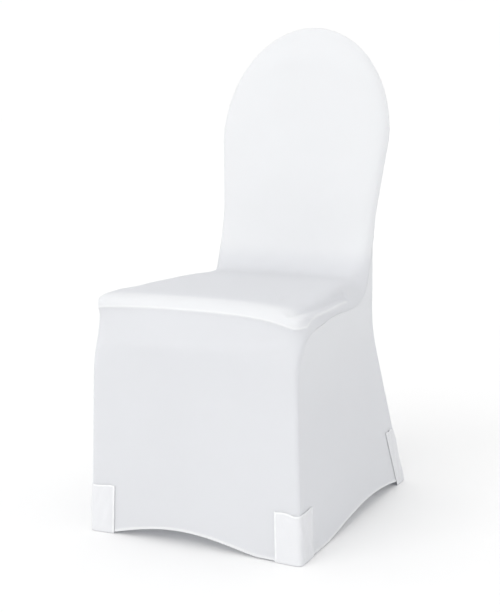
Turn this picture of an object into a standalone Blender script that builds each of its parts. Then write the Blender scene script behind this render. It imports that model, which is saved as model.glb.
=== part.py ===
"""Fitted stretch-knit cover for a round-topped banquet chair.

The cover is hollow and keeps the form it takes on the chair: a front panel that runs from
the front hem over the seat and up the backrest, a rear panel, two side panels, and four
foot pockets that close under the legs.  Every panel is a thin sheet.  Its outer face is a
smooth surface through rows of stations, and neighbouring panels share one seam line, from
which each stands back by half the seam gap.

Metres, +Z up, the front of the chair towards -Y.  The origin is on the floor, under the
middle of the cover.
"""
import math

import bpy
import numpy as np

# Cloth
CLOTH = 0.0016                # thickness of the stretched knit
SEAM_GAP = 0.0005             # clear distance between two panels along a seam
POCKET_GAP = 0.0009           # clear distance between a foot pocket and the panels in it
ROW_STEPS = 2                 # surface rows for each pair of station rows
COLUMN_STEPS = 3              # surface columns for each pair of stations in a row

# Front legs and skirt
FRONT_FOOT_X = 0.2126         # half the width over the front feet
FRONT_FOOT_Y = -0.2773
LEG_LEAN = 0.0099             # how much narrower the cover is at the top of the front legs
LEG_TOP_Z = 0.330
SKIRT_DIP = 0.008             # how far the skirt draws in between the legs
SKIRT_LEVELS = (
    # height, share of the dip there
    (0.0, 0.5),
    (0.08, 0.9),
    (0.17, 1.1),
    (0.26, 1.0),
    (LEG_TOP_Z, 0.5),
)
RAIL_Y = -0.2794              # skirt in front of the front rail
RAIL_Z = 0.3566

# Seat
TUCK_Y = -0.2580              # tuck under the cushion's front roll, at the middle
TUCK_Z = 0.4262
UNDER_TUCK = 0.017            # from the tuck down to the next row
ROLL_Y = -0.2690              # fullest line of the roll
ROLL_Z = 0.4420
CORNER_X = 0.1975             # front corner of the cushion
CORNER_Y = -0.2680
CORNER_DROP = 0.0090          # the corners lie lower than the middle of the front
RIGHT_SAG = 0.0080            # the right corner lies lower still
RIGHT_SAG_ROWS = (
    # station row, and its shares of the sag before, at and beyond the shoulder
    (6, 0.1, 0.7, 0.5),
    (7, 0.2, 1.0, 0.8),
    (8, 0.2, 1.0, 0.8),
    (9, 0.2, 0.8, 0.6),
    (10, 0.1, 0.4, 0.3),
)
SIDE_RIM_X = 0.2095           # rim of the cushion behind its front corner
SIDE_RIM_Y = -0.2420
SEAT_Z = 0.4480
SEAT_SWELL = 0.003            # extra height of the cushion's crown
SHOULDER_FRONT_X = 0.1930     # where the cushion starts to slope down to its side rim
SHOULDER_REAR_X = 0.1550
SIDE_RIM_Z = 0.4290
SIDE_RIM_REAR_Z = 0.4290
SIDE_SEAM_FRONT_X = 0.2048
SIDE_SEAM_REAR_X = 0.1676
SIDE_SEAM_Z = 0.3956
SIDE_SEAM = (
    # share of the way to the crease, y of the seam, its rise above the front
    (0.14, -0.1334, 0.008),
    (0.36, -0.0784, 0.011),
    (0.58, -0.0234, 0.014),
    (0.80, 0.0366, 0.018),
)
CREASE_Y = 0.1175             # fold between seat and backrest
CREASE_Z = 0.4395

# Backrest
BACK_FOOT_Y = 0.1560          # middle of the backrest's thickness at seat level
SEAT_LEVEL = 0.452
RECLINE = math.radians(10.4)
CROWN_Z = 0.9282
CROWN_HALF_WIDTH = 0.1822
CROWN_RISE = 0.2221           # length of the half-oval top along the backrest
JOIN_X = 0.1670               # where front, side and rear panels meet
JOIN_Z = 0.5114
WAIST_HALF_WIDTH = 0.1624
MIDDLE_HALF_WIDTH = 0.1713
MIDDLE_ABOVE_JOIN = 0.090
FRONT_DEPTH = 0.0236          # from the middle of the thickness to the front face
REAR_DEPTH = 0.0160

# Rear legs
REAR_FOOT_X = 0.2040
REAR_FOOT_Y = 0.2773
REAR_KNEE = (0.1754, 0.1519, 0.3462)
REAR_DIP = 0.008

# Foot pockets
POCKET_FRONT_WIDTH = 0.047    # along the front or rear skirt
POCKET_SIDE_WIDTH = 0.050     # along the side skirt
POCKET_HEIGHT_FRONT = 0.091
POCKET_HEIGHT_REAR = 0.122
SOLE_ROUND = 0.0032           # radius between a pocket's wall and its sole
SOLE_REACH = 0.016            # how far the sole runs in under the foot at the pocket's ends

# Hem.  Above its pockets the hem starts HEM_BASE over the floor, and each skirt arches
# between them: height of the arch, where it starts and how far it spans as shares of the
# skirt's width, lean (over 1 moves the top towards the far end) and sharpness of its ends.
HEM_BASE = 0.0028
HEM_FADE = 0.26               # the arch fades out at this height
HEM_ARCHES = {
    # skirt:  (height, start, span, lean, sharpness)
    "front": (0.0215, 0.05, 0.78, 0.83, 1.25),
    "rear": (0.0190, 0.10, 0.80, 1.00, 1.2),
    "side": (0.0205, 0.20, 0.78, 1.35, 1.0),
}

# Stations across half a backrest row, as shares of its half width, and the share of the
# full depth that the padding has there.
EDGE_SHARE = np.array([0.0, 0.42, 0.74, 0.90, 0.97, 1.0])
EDGE_DEPTH = np.array([1.0, 0.99, 0.95, 0.80, 0.45, 0.0])
TURN_ROW = 7                  # station row in which the leg seam turns into the side seam
KEY_SHIFT = 1.37e-7           # keeps equal points off a rounding limit when they are matched

# Cloth and pocket colours as linear values
KNIT_WHITE = (0.86, 0.87, 0.89, 1.0)
POCKET_WHITE = (0.92, 0.93, 0.95, 1.0)
KNIT_ROUGHNESS = 0.85


def half_row(middle, shoulder, rim, seam):
    """Six stations from the middle of a row to its seam.

    Two of them lie at half and at 86 percent of the way to the shoulder.  Depth follows the
    square of that share and height its cube, so a row is fullest in its middle.
    """
    middle, shoulder, rim, seam = (np.array(point, float) for point in (middle, shoulder, rim, seam))
    reach = shoulder - middle
    between = [middle + reach * np.array([share, share ** 2, share ** 3]) for share in (0.5, 0.86)]
    return np.array([middle, *between, shoulder, rim, seam])


def whole_row(half):
    """A half row and its mirror image, eleven stations from -X to +X."""
    mirror = half[::-1] * np.array([-1.0, 1.0, 1.0])
    return np.vstack([mirror[:-1], half])


def back_plane_y(z):
    """Middle of the backrest's thickness at height z."""
    return BACK_FOOT_Y + (z - SEAT_LEVEL) * math.tan(RECLINE)


def skirt_rows():
    """Half rows of the front skirt, from the hem to just under the seat's rim.

    Each leg row is level and has a rounded corner.
    """
    rows = []
    for z, dip in SKIRT_LEVELS:
        x = FRONT_FOOT_X - LEG_LEAN * z / LEG_TOP_Z
        y = FRONT_FOOT_Y
        rows.append(half_row((0, y + 0.003 + SKIRT_DIP * dip, z), (x - 0.013, y, z),
                             (x - 0.002, y + 0.003, z), (x, y + 0.015, z)))
    x = FRONT_FOOT_X - LEG_LEAN
    rows.append(half_row((0, RAIL_Y, RAIL_Z), (x - 0.015, FRONT_FOOT_Y + 0.004, RAIL_Z - 0.004),
                         (x - 0.003, FRONT_FOOT_Y + 0.009, RAIL_Z - 0.002),
                         (x, FRONT_FOOT_Y + 0.024, RAIL_Z + 0.004)))
    under = TUCK_Z - UNDER_TUCK
    rows.append(half_row((0, TUCK_Y - 0.006, under), (CORNER_X - 0.004, CORNER_Y + 0.003, under - CORNER_DROP),
                         (SIDE_RIM_X - 0.004, SIDE_RIM_Y - 0.008, under - 0.019),
                         (x, SIDE_RIM_Y - 0.002, under - 0.030)))
    return rows


def seat_rows():
    """Half rows of the seat, from the tuck under its front roll to the crease."""
    x, z = SIDE_SEAM_FRONT_X, SIDE_SEAM_Z
    low = TUCK_Z - CORNER_DROP
    rows = [
        half_row((0, TUCK_Y, TUCK_Z), (CORNER_X - 0.004, CORNER_Y + 0.006, low - 0.001),
                 (SIDE_RIM_X - 0.001, SIDE_RIM_Y - 0.004, low - 0.006), (x, -0.2230, z)),
        half_row((0, ROLL_Y + 0.001, 0.5 * (TUCK_Z + ROLL_Z)), (CORNER_X, CORNER_Y, low + 0.010),
                 (SIDE_RIM_X, SIDE_RIM_Y + 0.004, low + 0.003), (x - 0.001, -0.2000, z + 0.003)),
        half_row((0, ROLL_Y, ROLL_Z), (CORNER_X - 0.002, CORNER_Y + 0.002, ROLL_Z - 0.007),
                 (SIDE_RIM_X + 0.006, SIDE_RIM_Y + 0.020, SIDE_RIM_Z + 0.004), (x - 0.002, -0.1700, z + 0.005)),
    ]
    for share, side_y, rise in SIDE_SEAM:
        y = ROLL_Y + (CREASE_Y - ROLL_Y) * share
        top = SEAT_Z + SEAT_SWELL * math.sin(math.pi * share)
        shoulder_x = SHOULDER_FRONT_X + (SHOULDER_REAR_X - SHOULDER_FRONT_X) * share
        rim_x = SIDE_RIM_X + 0.007 + (SIDE_SEAM_REAR_X - 0.010 - SIDE_RIM_X) * share
        rim_z = SIDE_RIM_Z + (SIDE_RIM_REAR_Z - SIDE_RIM_Z) * share
        seam_x = x + (SIDE_SEAM_REAR_X - x) * share
        rows.append(half_row((0, y, top), (shoulder_x, 0.5 * (y + side_y), SEAT_Z - 0.003),
                             (rim_x, side_y, rim_z), (seam_x, side_y, z + rise)))
    rows.append(half_row((0, CREASE_Y, CREASE_Z), (0.145, CREASE_Y, CREASE_Z),
                         (SIDE_SEAM_REAR_X - 0.010, CREASE_Y + 0.006, SIDE_RIM_REAR_Z + 0.016),
                         (SIDE_SEAM_REAR_X - 0.001, CREASE_Y + 0.016, SIDE_RIM_REAR_Z + 0.012)))
    return rows


def sag_right_corner(net):
    """Lowers the right front corner of the cushion, where the cloth is drawn down."""
    for row, before, shoulder, rim in RIGHT_SAG_ROWS:
        net[row, -4, 2] -= RIGHT_SAG * before
        net[row, -3, 2] -= RIGHT_SAG * shoulder
        net[row, -2, 2] -= RIGHT_SAG * rim


def join_row(depth, side):
    """Half row at the height where front, side and rear panels meet.

    side is -1 for the front face and 1 for the rear face.
    """
    y = back_plane_y(JOIN_Z)
    if side < 0:
        return half_row((0, y - depth - 0.002, JOIN_Z - 0.016), (JOIN_X - 0.020, y - 0.9 * depth, JOIN_Z - 0.012),
                        (JOIN_X - 0.006, y - 0.016, JOIN_Z - 0.006), (JOIN_X, y - 0.002, JOIN_Z))
    return half_row((0, y + depth, JOIN_Z), (JOIN_X - 0.020, y + 0.8 * depth, JOIN_Z),
                    (JOIN_X - 0.005, y + 0.35 * depth, JOIN_Z), (JOIN_X, y - 0.002, JOIN_Z))


def back_rows(depth, side):
    """Half rows of one face of the backrest above the join, ending on the crown's edge.

    Up to the oval top the rows are level.  Over it a row of share b and a station of share a
    lie at x = R a sqrt(1 - b b / 2) and at v = H b sqrt(1 - a a / 2) up the backrest, which
    maps the rows smoothly onto a half oval, and the padding's depth falls off towards it.
    """
    rows = []
    spring_z = CROWN_Z - CROWN_RISE * math.cos(RECLINE)
    for z in np.linspace(JOIN_Z, spring_z, 5)[1:]:
        width = np.interp(z, (JOIN_Z, JOIN_Z + MIDDLE_ABOVE_JOIN, spring_z),
                          (WAIST_HALF_WIDTH, MIDDLE_HALF_WIDTH, CROWN_HALF_WIDTH))
        y = back_plane_y(z) + side * depth * EDGE_DEPTH
        rows.append(np.stack([EDGE_SHARE * width, y, np.full(6, z)], 1))
    for b in (0.2, 0.4, 0.6, 0.8, 1.0):
        a = EDGE_SHARE
        x = CROWN_HALF_WIDTH * a * np.sqrt(1 - b * b / 2)
        v = CROWN_RISE * b * np.sqrt(1 - a * a / 2)
        share = np.sqrt(np.clip(a * a + b * b - a * a * b * b, 0, 1))
        y = back_plane_y(spring_z) + v * math.sin(RECLINE)
        y = y + side * depth * np.interp(share, EDGE_SHARE, EDGE_DEPTH)
        rows.append(np.stack([x, y, spring_z + v * math.cos(RECLINE)], 1))
    return rows


def rear_skirt_rows():
    """Half rows of the rear skirt, from the hem up the splayed legs to below the join."""
    knee_x, knee_y, knee_z = REAR_KNEE
    rows = []
    for share in (0.0, 0.2, 0.4, 0.6, 0.8, 1.0):
        x = REAR_FOOT_X + (knee_x - REAR_FOOT_X) * share
        y = REAR_FOOT_Y + (knee_y - REAR_FOOT_Y) * share
        dip = REAR_DIP * math.sin(math.pi * share)
        rows.append(rear_half_row(x, y, knee_z * share, dip))
    x = 0.5 * (knee_x + JOIN_X) + 0.002
    y = 0.5 * (knee_y + back_plane_y(JOIN_Z)) + 0.002
    rows.append(rear_half_row(x, y, 0.5 * (knee_z + JOIN_Z), 0.0))
    return rows


def rear_half_row(x, y, z, dip):
    """A level half row of the rear skirt round a leg corner at (x, y)."""
    return half_row((0, y - 0.003 - dip, z), (x - 0.013, y, z), (x - 0.002, y - 0.003, z), (x, y - 0.014, z))


def blend_matrix(count, steps):
    """Weights of uniform cubic blending, which ends on its first and last station."""
    places = [(span, step / steps) for span in range(count - 1) for step in range(steps)]
    places.append((count - 2, 1.0))
    matrix = np.zeros((len(places), count))
    for row, (span, t) in enumerate(places):
        weights = np.array([(1 - t) ** 3, 3 * t ** 3 - 6 * t ** 2 + 4,
                            -3 * t ** 3 + 3 * t ** 2 + 3 * t + 1, t ** 3]) / 6
        for station, weight in zip(range(span - 1, span + 3), weights):
            if station < 0:
                matrix[row, 0] += 2 * weight
                matrix[row, 1] -= weight
            elif station >= count:
                matrix[row, -1] += 2 * weight
                matrix[row, -2] -= weight
            else:
                matrix[row, station] += weight
    return matrix


def blended(net, row_steps, column_steps):
    """Surface points of a net of stations."""
    rows = blend_matrix(net.shape[0], row_steps)
    columns = blend_matrix(net.shape[1], column_steps)
    return np.einsum("ri,ijk,cj->rck", rows, net, columns)


def passing_through(net, first):
    """Moves the stations of the rows from first on, so that the surface passes through them."""
    out = net.copy()
    share = np.clip((np.arange(len(net)) - first + 1) / 2.0, 0, 1)[:, None, None]
    for _ in range(3):
        out = out + share * (net - blended(out, 1, 1))
    return out


def hem_lift(skirt, share, z):
    """How far the hem's arch lifts a point at a share of the skirt's width and height z."""
    height, start, span, lean, sharpness = HEM_ARCHES[skirt]
    along = np.clip((share - start) / span, 0, 1) ** lean
    arch = height * np.sin(math.pi * along) ** sharpness
    return (HEM_BASE + arch) * np.clip(1 - z / HEM_FADE, 0, 1) ** 2


def side_surface(front_edge, top_edge, rear_edge):
    """Surface between the front, top and rear edges of a side panel and a straight foot line.

    Each point is the sum of the two ruled surfaces between opposite edges, less the
    surface ruled between the four corners.
    """
    rows, columns = len(front_edge), len(top_edge)
    s = np.linspace(0, 1, columns)[None, :, None]
    t = np.linspace(0, 1, rows)[:, None, None]
    foot_line = front_edge[0] + (rear_edge[0] - front_edge[0]) * s[0]
    across = (1 - s) * front_edge[:, None] + s * rear_edge[:, None]
    upward = (1 - t) * foot_line[None] + t * top_edge[None]
    corners = ((1 - s) * (1 - t) * front_edge[0] + s * (1 - t) * rear_edge[0]
               + (1 - s) * t * front_edge[-1] + s * t * rear_edge[-1])
    return across + upward - corners


def join_rear_to_front(rear, front, rows_above):
    """Moves the rear surface's edges above the join onto the front surface's edges."""
    columns = rear.shape[1]
    fade = np.clip(1 - np.arange(columns) / 5.0, 0, 1) ** 2
    left = front[-1 - rows_above:, 0] - rear[-1 - rows_above:, 0]
    right = front[-1 - rows_above:, -1] - rear[-1 - rows_above:, -1]
    rear[-1 - rows_above:] += left[:, None] * fade[None, :, None] + right[:, None] * fade[::-1][None, :, None]
    for below in range(1, ROW_STEPS + 1):
        share = (1 - below / (ROW_STEPS + 1)) ** 2
        rear[-1 - rows_above - below] += share * (left[0] * fade[:, None] + right[0] * fade[::-1][:, None])
    rear[-1] = front[-1]


def cover_surfaces():
    """Outer faces of the four panels as grids of points, rows upward."""
    front_net = np.array([whole_row(row) for row in
                          skirt_rows() + seat_rows() + [join_row(FRONT_DEPTH, -1)] + back_rows(FRONT_DEPTH, -1)])
    sag_right_corner(front_net)
    rear_net = np.array([whole_row(row) for row in
                         rear_skirt_rows() + [join_row(REAR_DEPTH, 1)] + back_rows(REAR_DEPTH, 1)])
    back_count = len(back_rows(REAR_DEPTH, 1))
    front_join = len(front_net) - back_count - 1
    rear_join = len(rear_net) - back_count - 1
    front = blended(passing_through(front_net, front_join + 1), ROW_STEPS, COLUMN_STEPS)
    rear = blended(passing_through(rear_net, rear_join + 1), ROW_STEPS, COLUMN_STEPS)
    join_rear_to_front(rear, front, back_count * ROW_STEPS)
    surfaces = {}
    for name, column in (("side_panel_right", -1), ("side_panel_left", 0)):
        side = side_surface(front[:TURN_ROW * ROW_STEPS + 1, column],
                            front[TURN_ROW * ROW_STEPS:front_join * ROW_STEPS + 1, column],
                            rear[:rear_join * ROW_STEPS + 1, column])
        share = np.linspace(0, 1, side.shape[1])[None, :]
        side[..., 2] += hem_lift("side", share, side[..., 2])
        surfaces[name] = side
    for name, grid, skirt in (("front_panel", front, "front"), ("rear_panel", rear, "rear")):
        grid = grid.copy()
        half_width = np.abs(grid[0, -1, 0])
        share = 0.5 + 0.5 * np.clip(grid[..., 0] / half_width, -1, 1)
        grid[..., 2] += hem_lift(skirt, share, grid[..., 2])
        surfaces[name] = grid
    return surfaces


def unit(vectors):
    """Vectors scaled to length 1."""
    return vectors / np.maximum(np.linalg.norm(vectors, axis=-1, keepdims=True), 1e-12)


def grid_faces(rows, columns, start, flip):
    """Quads of a grid of vertices, counter-clockwise seen from the side of column x row."""
    faces = []
    for r in range(rows - 1):
        for c in range(columns - 1):
            a = start + r * columns + c
            quad = (a, a + 1, a + columns + 1, a + columns)
            faces.append(quad[::-1] if flip else quad)
    return faces


# Panels seen from outside run from +X to -X where this is true.
FLIPPED = {"front_panel": False, "rear_panel": True, "side_panel_right": False, "side_panel_left": True}


def shared_normals(surfaces):
    """Outward normals of every surface point, averaged over all panels that meet there."""
    totals = {}
    for name, grid in surfaces.items():
        a, b = grid[:-1, :-1], grid[:-1, 1:]
        c, d = grid[1:, 1:], grid[1:, :-1]
        area = np.cross(c - a, d - b) * (-1.0 if FLIPPED[name] else 1.0)
        sums = np.zeros_like(grid)
        sums[:-1, :-1] += area
        sums[:-1, 1:] += area
        sums[1:, 1:] += area
        sums[1:, :-1] += area
        totals[name] = sums
    keys = {name: [tuple(point) for point in np.round(grid.reshape(-1, 3) + KEY_SHIFT, 6)]
            for name, grid in surfaces.items()}
    meeting = {}
    for name in surfaces:
        for key, value in zip(keys[name], totals[name].reshape(-1, 3)):
            meeting[key] = meeting.get(key, 0) + value
    return {name: unit(np.array([meeting[key] for key in keys[name]])).reshape(grid.shape)
            for name, grid in surfaces.items()}


def seam_setback(grid, normals):
    """Moves of the edge points of a panel into it, by half the seam gap.

    A seam runs round a panel's upper corners without a bend, so their way into the panel
    is the one to the next point across the corner.
    """
    move = np.zeros_like(grid)

    def inward(edge, neighbour, normal):
        way = neighbour - edge
        way -= np.sum(way * normal, -1, keepdims=True) * normal
        along = unit(np.gradient(edge, axis=0))
        way -= np.sum(way * along, -1, keepdims=True) * along
        return 0.5 * SEAM_GAP * unit(way)

    for column, inner in ((0, 1), (-1, -2)):
        neighbour = grid[:, inner].copy()
        neighbour[-1] = grid[-2, inner]
        move[:, column] += inward(grid[:, column], neighbour, normals[:, column])
    neighbour = grid[-2].copy()
    neighbour[[0, -1]] = grid[-2, [1, -2]]
    move[-1] += inward(grid[-1], neighbour, normals[-1])
    return move


def sheet_mesh(name, outer, inner, flip):
    """Mesh of a closed sheet between two grids of points with the same shape."""
    rows, columns = outer.shape[:2]
    count = rows * columns
    faces = grid_faces(rows, columns, 0, flip) + grid_faces(rows, columns, count, not flip)
    ring = list(range(columns))
    ring += [r * columns + columns - 1 for r in range(1, rows)]
    ring += [(rows - 1) * columns + c for c in range(columns - 2, -1, -1)]
    ring += [r * columns for r in range(rows - 2, 0, -1)]
    for here, following in zip(ring, ring[1:] + ring[:1]):
        quad = (following, here, here + count, following + count)
        faces.append(quad[::-1] if flip else quad)
    mesh = bpy.data.meshes.new(name)
    mesh.from_pydata(np.vstack([outer.reshape(-1, 3), inner.reshape(-1, 3)]).tolist(), [], faces)
    mesh.validate()
    mesh.update()
    mesh.shade_smooth()
    mesh.set_sharp_from_angle(angle=math.radians(60))
    return mesh


def cloth_material(name, colour):
    """Matt knitted cloth."""
    material = bpy.data.materials.new(name)
    material.use_nodes = True
    shader = material.node_tree.nodes["Principled BSDF"]
    shader.inputs["Base Color"].default_value = colour
    shader.inputs["Roughness"].default_value = KNIT_ROUGHNESS
    shader.inputs["Metallic"].default_value = 0.0
    return material


def add_object(name, mesh, colour):
    """Places a mesh in the scene with its own material."""
    mesh.materials.append(cloth_material(name, colour))
    piece = bpy.data.objects.new(name, mesh)
    bpy.context.scene.collection.objects.link(piece)
    return piece


def keep_off_middle(face, side):
    """Keeps a face of a backrest panel on its own side of the padding's middle.

    side is -1 for the front panel and 1 for the rear panel.
    """
    rows = face[..., 2] > JOIN_Z
    depth = side * (face[..., 1] - back_plane_y(face[..., 2]))
    lacking = np.where(rows, np.maximum(0.5 * SEAM_GAP / math.cos(RECLINE) - depth, 0), 0)
    face[..., 1] += side * lacking


def add_panels(surfaces):
    """The four panels as closed sheets, their inner faces one cloth thickness inside."""
    normals = shared_normals(surfaces)
    for name, grid in surfaces.items():
        outer = grid + seam_setback(grid, normals[name])
        if name.startswith("side_panel"):
            outer[-1, -1] += 0.12 * (0.5 * (outer[-1, -2] + outer[-2, -1]) - outer[-1, -1])
        inner = outer - CLOTH * normals[name]
        if not name.startswith("side_panel"):
            for face in (outer, inner):
                keep_off_middle(face, -1 if name == "front_panel" else 1)
        add_object(name, sheet_mesh(name, outer, inner, FLIPPED[name]), KNIT_WHITE)


def section_at(columns, z):
    """Points at height z on surface columns, given as an array of columns of points."""
    return np.array([[np.interp(z, column[:, 2], column[:, 0]), np.interp(z, column[:, 2], column[:, 1])]
                     for column in columns])


def corner_section(skirt_columns, side_columns, z, shares):
    """Level section of the cover round a leg corner, at signed distances from the corner.

    Returns points and outward directions in the plane.  The distances run from the front
    or rear skirt (negative) round to the side skirt (positive).
    """
    skirt = section_at(skirt_columns, z)
    side = section_at(side_columns, z)
    line = np.vstack([skirt, side[1:]])
    length = np.concatenate([[0], np.cumsum(np.linalg.norm(np.diff(line, axis=0), axis=1))])
    corner = np.argmax(np.abs(line[:, 0]) + np.abs(line[:, 1]))
    place = length[corner] + shares
    points = np.stack([np.interp(place, length, line[:, 0]), np.interp(place, length, line[:, 1])], 1)
    tangent = unit(np.gradient(points, axis=0))
    outward = np.stack([tangent[:, 1], -tangent[:, 0]], 1)
    outward *= np.sign(np.sum(outward * points, axis=1, keepdims=True))
    return points, outward


# Stations round a pocket, as shares of the width on each side of the corner
POCKET_STATIONS = np.array([-1.0, -0.82, -0.62, -0.42, -0.26, -0.15, -0.07, 0.0,
                            0.07, 0.15, 0.26, 0.42, 0.62, 0.82, 1.0])


def pocket_faces(skirt_columns, side_columns, height):
    """Outer and inner grids of a foot pocket, rows from the middle of its sole to its top.

    The wall follows the cover's section at each height.  Under it a quarter circle leads
    into a flat sole, which reaches in to a straight line between the pocket's two ends.
    """
    widths = np.where(POCKET_STATIONS < 0, POCKET_FRONT_WIDTH, POCKET_SIDE_WIDTH)
    shares = POCKET_STATIONS * widths
    outer_rows, inner_rows = [], []

    def level(z):
        return corner_section(skirt_columns, side_columns, z, shares)

    foot, out = level(SOLE_ROUND)
    outer_offset = POCKET_GAP + CLOTH
    base = foot + out * (outer_offset - SOLE_ROUND)
    reach = base - out * SOLE_REACH
    ends = np.linspace(0, 1, len(shares))[:, None]
    far = reach[0] + (reach[-1] - reach[0]) * ends
    for share in (1.0, 0.5):
        flat = base + (far - base) * share
        outer_rows.append(np.column_stack([flat, np.zeros(len(flat))]))
        inner_rows.append(np.column_stack([flat, np.full(len(flat), CLOTH)]))
    for angle in np.radians([90, 60, 30]):
        for rows, radius in ((outer_rows, SOLE_ROUND), (inner_rows, SOLE_ROUND - CLOTH)):
            plan = base + out * radius * math.cos(angle)
            rows.append(np.column_stack([plan, np.full(len(plan), SOLE_ROUND - radius * math.sin(angle))]))
    for z in np.linspace(SOLE_ROUND, height, 7):
        plan, out = level(z)
        top = np.full(len(plan), z)
        outer_rows.append(np.column_stack([plan + out * outer_offset, top]))
        inner_rows.append(np.column_stack([plan + out * POCKET_GAP, top]))
    return np.array(outer_rows), np.array(inner_rows)


def add_pockets(surfaces):
    """Four foot pockets, each a wall round its leg's corner and a sole under the foot."""
    middle = surfaces["front_panel"].shape[1] // 2
    side_half = surfaces["side_panel_right"].shape[1] // 2
    # name, skirt panel, side panel, +1 on the +X side, +1 at the rear
    corners = (
        ("foot_pocket_front_right", "front_panel", "side_panel_right", 1, -1),
        ("foot_pocket_front_left", "front_panel", "side_panel_left", -1, -1),
        ("foot_pocket_rear_right", "rear_panel", "side_panel_right", 1, 1),
        ("foot_pocket_rear_left", "rear_panel", "side_panel_left", -1, 1),
    )
    for name, skirt_name, side_name, x_side, y_side in corners:
        skirt = surfaces[skirt_name][:4 * ROW_STEPS]
        side = surfaces[side_name][:4 * ROW_STEPS]
        skirt = skirt[:, middle:] if x_side > 0 else skirt[:, middle::-1]
        side = side[:, :side_half] if y_side < 0 else side[:, :side_half:-1]
        height = POCKET_HEIGHT_FRONT if y_side < 0 else POCKET_HEIGHT_REAR
        outer, inner = pocket_faces(np.swapaxes(skirt, 0, 1), np.swapaxes(side, 0, 1), height)
        flip = x_side * y_side > 0
        add_object(name, sheet_mesh(name, outer, inner, flip), POCKET_WHITE)


def main():
    """Clears the scene and builds the cover."""
    for piece in list(bpy.data.objects):
        bpy.data.objects.remove(piece)
    surfaces = cover_surfaces()
    add_panels(surfaces)
    add_pockets(surfaces)


main()
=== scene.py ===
"""Fitted stretch-knit cover for a round-topped banquet chair, dressed for its picture.

Every panel is one smooth surface through rows of stations, sampled finely, with the seams,
turned hems, folds and stitches that a sewn cover shows.  Metres, +Z up, front towards -Y.
"""
import functools
import math

import bpy
import numpy as np
from bpy.props import FloatProperty, FloatVectorProperty, PointerProperty
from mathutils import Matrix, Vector


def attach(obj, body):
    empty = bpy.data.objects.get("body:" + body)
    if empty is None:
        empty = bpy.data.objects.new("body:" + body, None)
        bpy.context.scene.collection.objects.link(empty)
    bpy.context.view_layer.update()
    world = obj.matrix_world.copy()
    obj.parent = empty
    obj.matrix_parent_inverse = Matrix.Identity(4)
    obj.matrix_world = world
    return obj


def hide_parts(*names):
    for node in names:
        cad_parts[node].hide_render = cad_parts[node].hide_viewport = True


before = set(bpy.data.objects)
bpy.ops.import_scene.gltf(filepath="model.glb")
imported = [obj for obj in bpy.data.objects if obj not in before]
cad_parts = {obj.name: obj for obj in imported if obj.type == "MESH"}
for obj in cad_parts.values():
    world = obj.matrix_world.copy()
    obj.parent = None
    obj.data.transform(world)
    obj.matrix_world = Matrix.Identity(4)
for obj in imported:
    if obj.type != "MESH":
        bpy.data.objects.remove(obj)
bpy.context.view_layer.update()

bl_info = {
    "name": "Fitted chair cover",
    "version": (1, 0, 0),
    "blender": (4, 5, 0),
    "location": "3D View > Sidebar > Chair cover",
    "description": "Builds a fitted stretch-knit chair cover with its seams, hems, folds and stitches",
    "category": "Add Mesh",
}

# The cover's form: the sizes of its solids, but with the cushion, the side seams, the front leg
# corners, the hems and the backrest's edges fitted closer to the photograph.
SEAM_GAP = 0.0003             # clear distance between two panels along a seam
POCKET_GAP = 0.0009           # clear distance between a foot pocket and the panels in it
SOLID_CLOTH = 0.0016          # thickness of the solids' cloth, which places a pocket's outer face

FRONT_FOOT_X = 0.2114
FRONT_FOOT_Y = -0.2773
LEG_LEAN = 0.0099
LEG_TOP_Z = 0.330
SKIRT_DIP = 0.008
SKIRT_LEVELS = (
    # height, share of the dip there
    (0.0, 0.5),
    (0.08, 0.9),
    (0.17, 1.1),
    (0.26, 1.0),
    (LEG_TOP_Z, 0.5),
)
RAIL_Y = -0.2794
RAIL_Z = 0.3566

RIDGE_Y = -0.2690
RIDGE_Z = 0.4262
UNDER_RIDGE = 0.0085
UNDER_RIDGE_BACK = 0.0020
BEVEL_Y = -0.2520
BEVEL_Z = 0.4455
CORNER_X = 0.1975
CORNER_Y = -0.2680
CORNER_DROP = 0.0090
RIGHT_SAG = 0.0080
RIGHT_SAG_ROWS = (
    # station row, and its shares of the sag before, at and beyond the shoulder
    (6, 0.5, 1.4, 0.2),
    (7, 0.6, 1.9, -0.4),
    (8, 0.6, 1.8, -0.3),
    (9, 0.4, 1.1, 0.6),
    (10, 0.2, 0.5, 0.5),
)
SIDE_RIM_X = 0.2095
SIDE_RIM_Y = -0.2420
SEAT_Z = 0.4480
SEAT_SWELL = 0.003
SHOULDER_FRONT_X = 0.1930
SHOULDER_REAR_X = 0.1550
SIDE_RIM_Z = 0.4290
SIDE_RIM_REAR_Z = 0.4028
SIDE_SEAM_FRONT_X = 0.2048
SIDE_SEAM_REAR_X = 0.1676
SIDE_SEAM_Z = 0.3956
SIDE_SEAM = (
    # share of the way to the crease, y of the seam, its rise above the front
    (0.14, -0.1334, 0.009),
    (0.36, -0.0784, 0.008),
    (0.58, -0.0234, 0.004),
    (0.80, 0.0366, -0.001),
)
CREASE_Y = 0.1175
CREASE_Z = 0.4395

BACK_FOOT_Y = 0.1560
SEAT_LEVEL = 0.452
RECLINE = math.radians(10.4)
CROWN_Z = 0.9282
CROWN_HALF_WIDTH = 0.1822
CROWN_RISE = 0.2221
JOIN_X = 0.1670
JOIN_Z = 0.5114
WAIST_HALF_WIDTH = 0.1624
MIDDLE_HALF_WIDTH = 0.1713
MIDDLE_ABOVE_JOIN = 0.090
FRONT_DEPTH = 0.0236
REAR_DEPTH = 0.0160

REAR_FOOT_X = 0.2040
REAR_FOOT_Y = 0.2773
REAR_KNEE = (0.1754, 0.1519, 0.3462)
REAR_DIP = 0.008

POCKET_FRONT_WIDTH = 0.047
POCKET_SIDE_WIDTH = 0.050
POCKET_HEIGHT_FRONT = 0.091
POCKET_HEIGHT_REAR = 0.122
SOLE_ROUND = 0.0032
SOLE_REACH = 0.016

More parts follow.
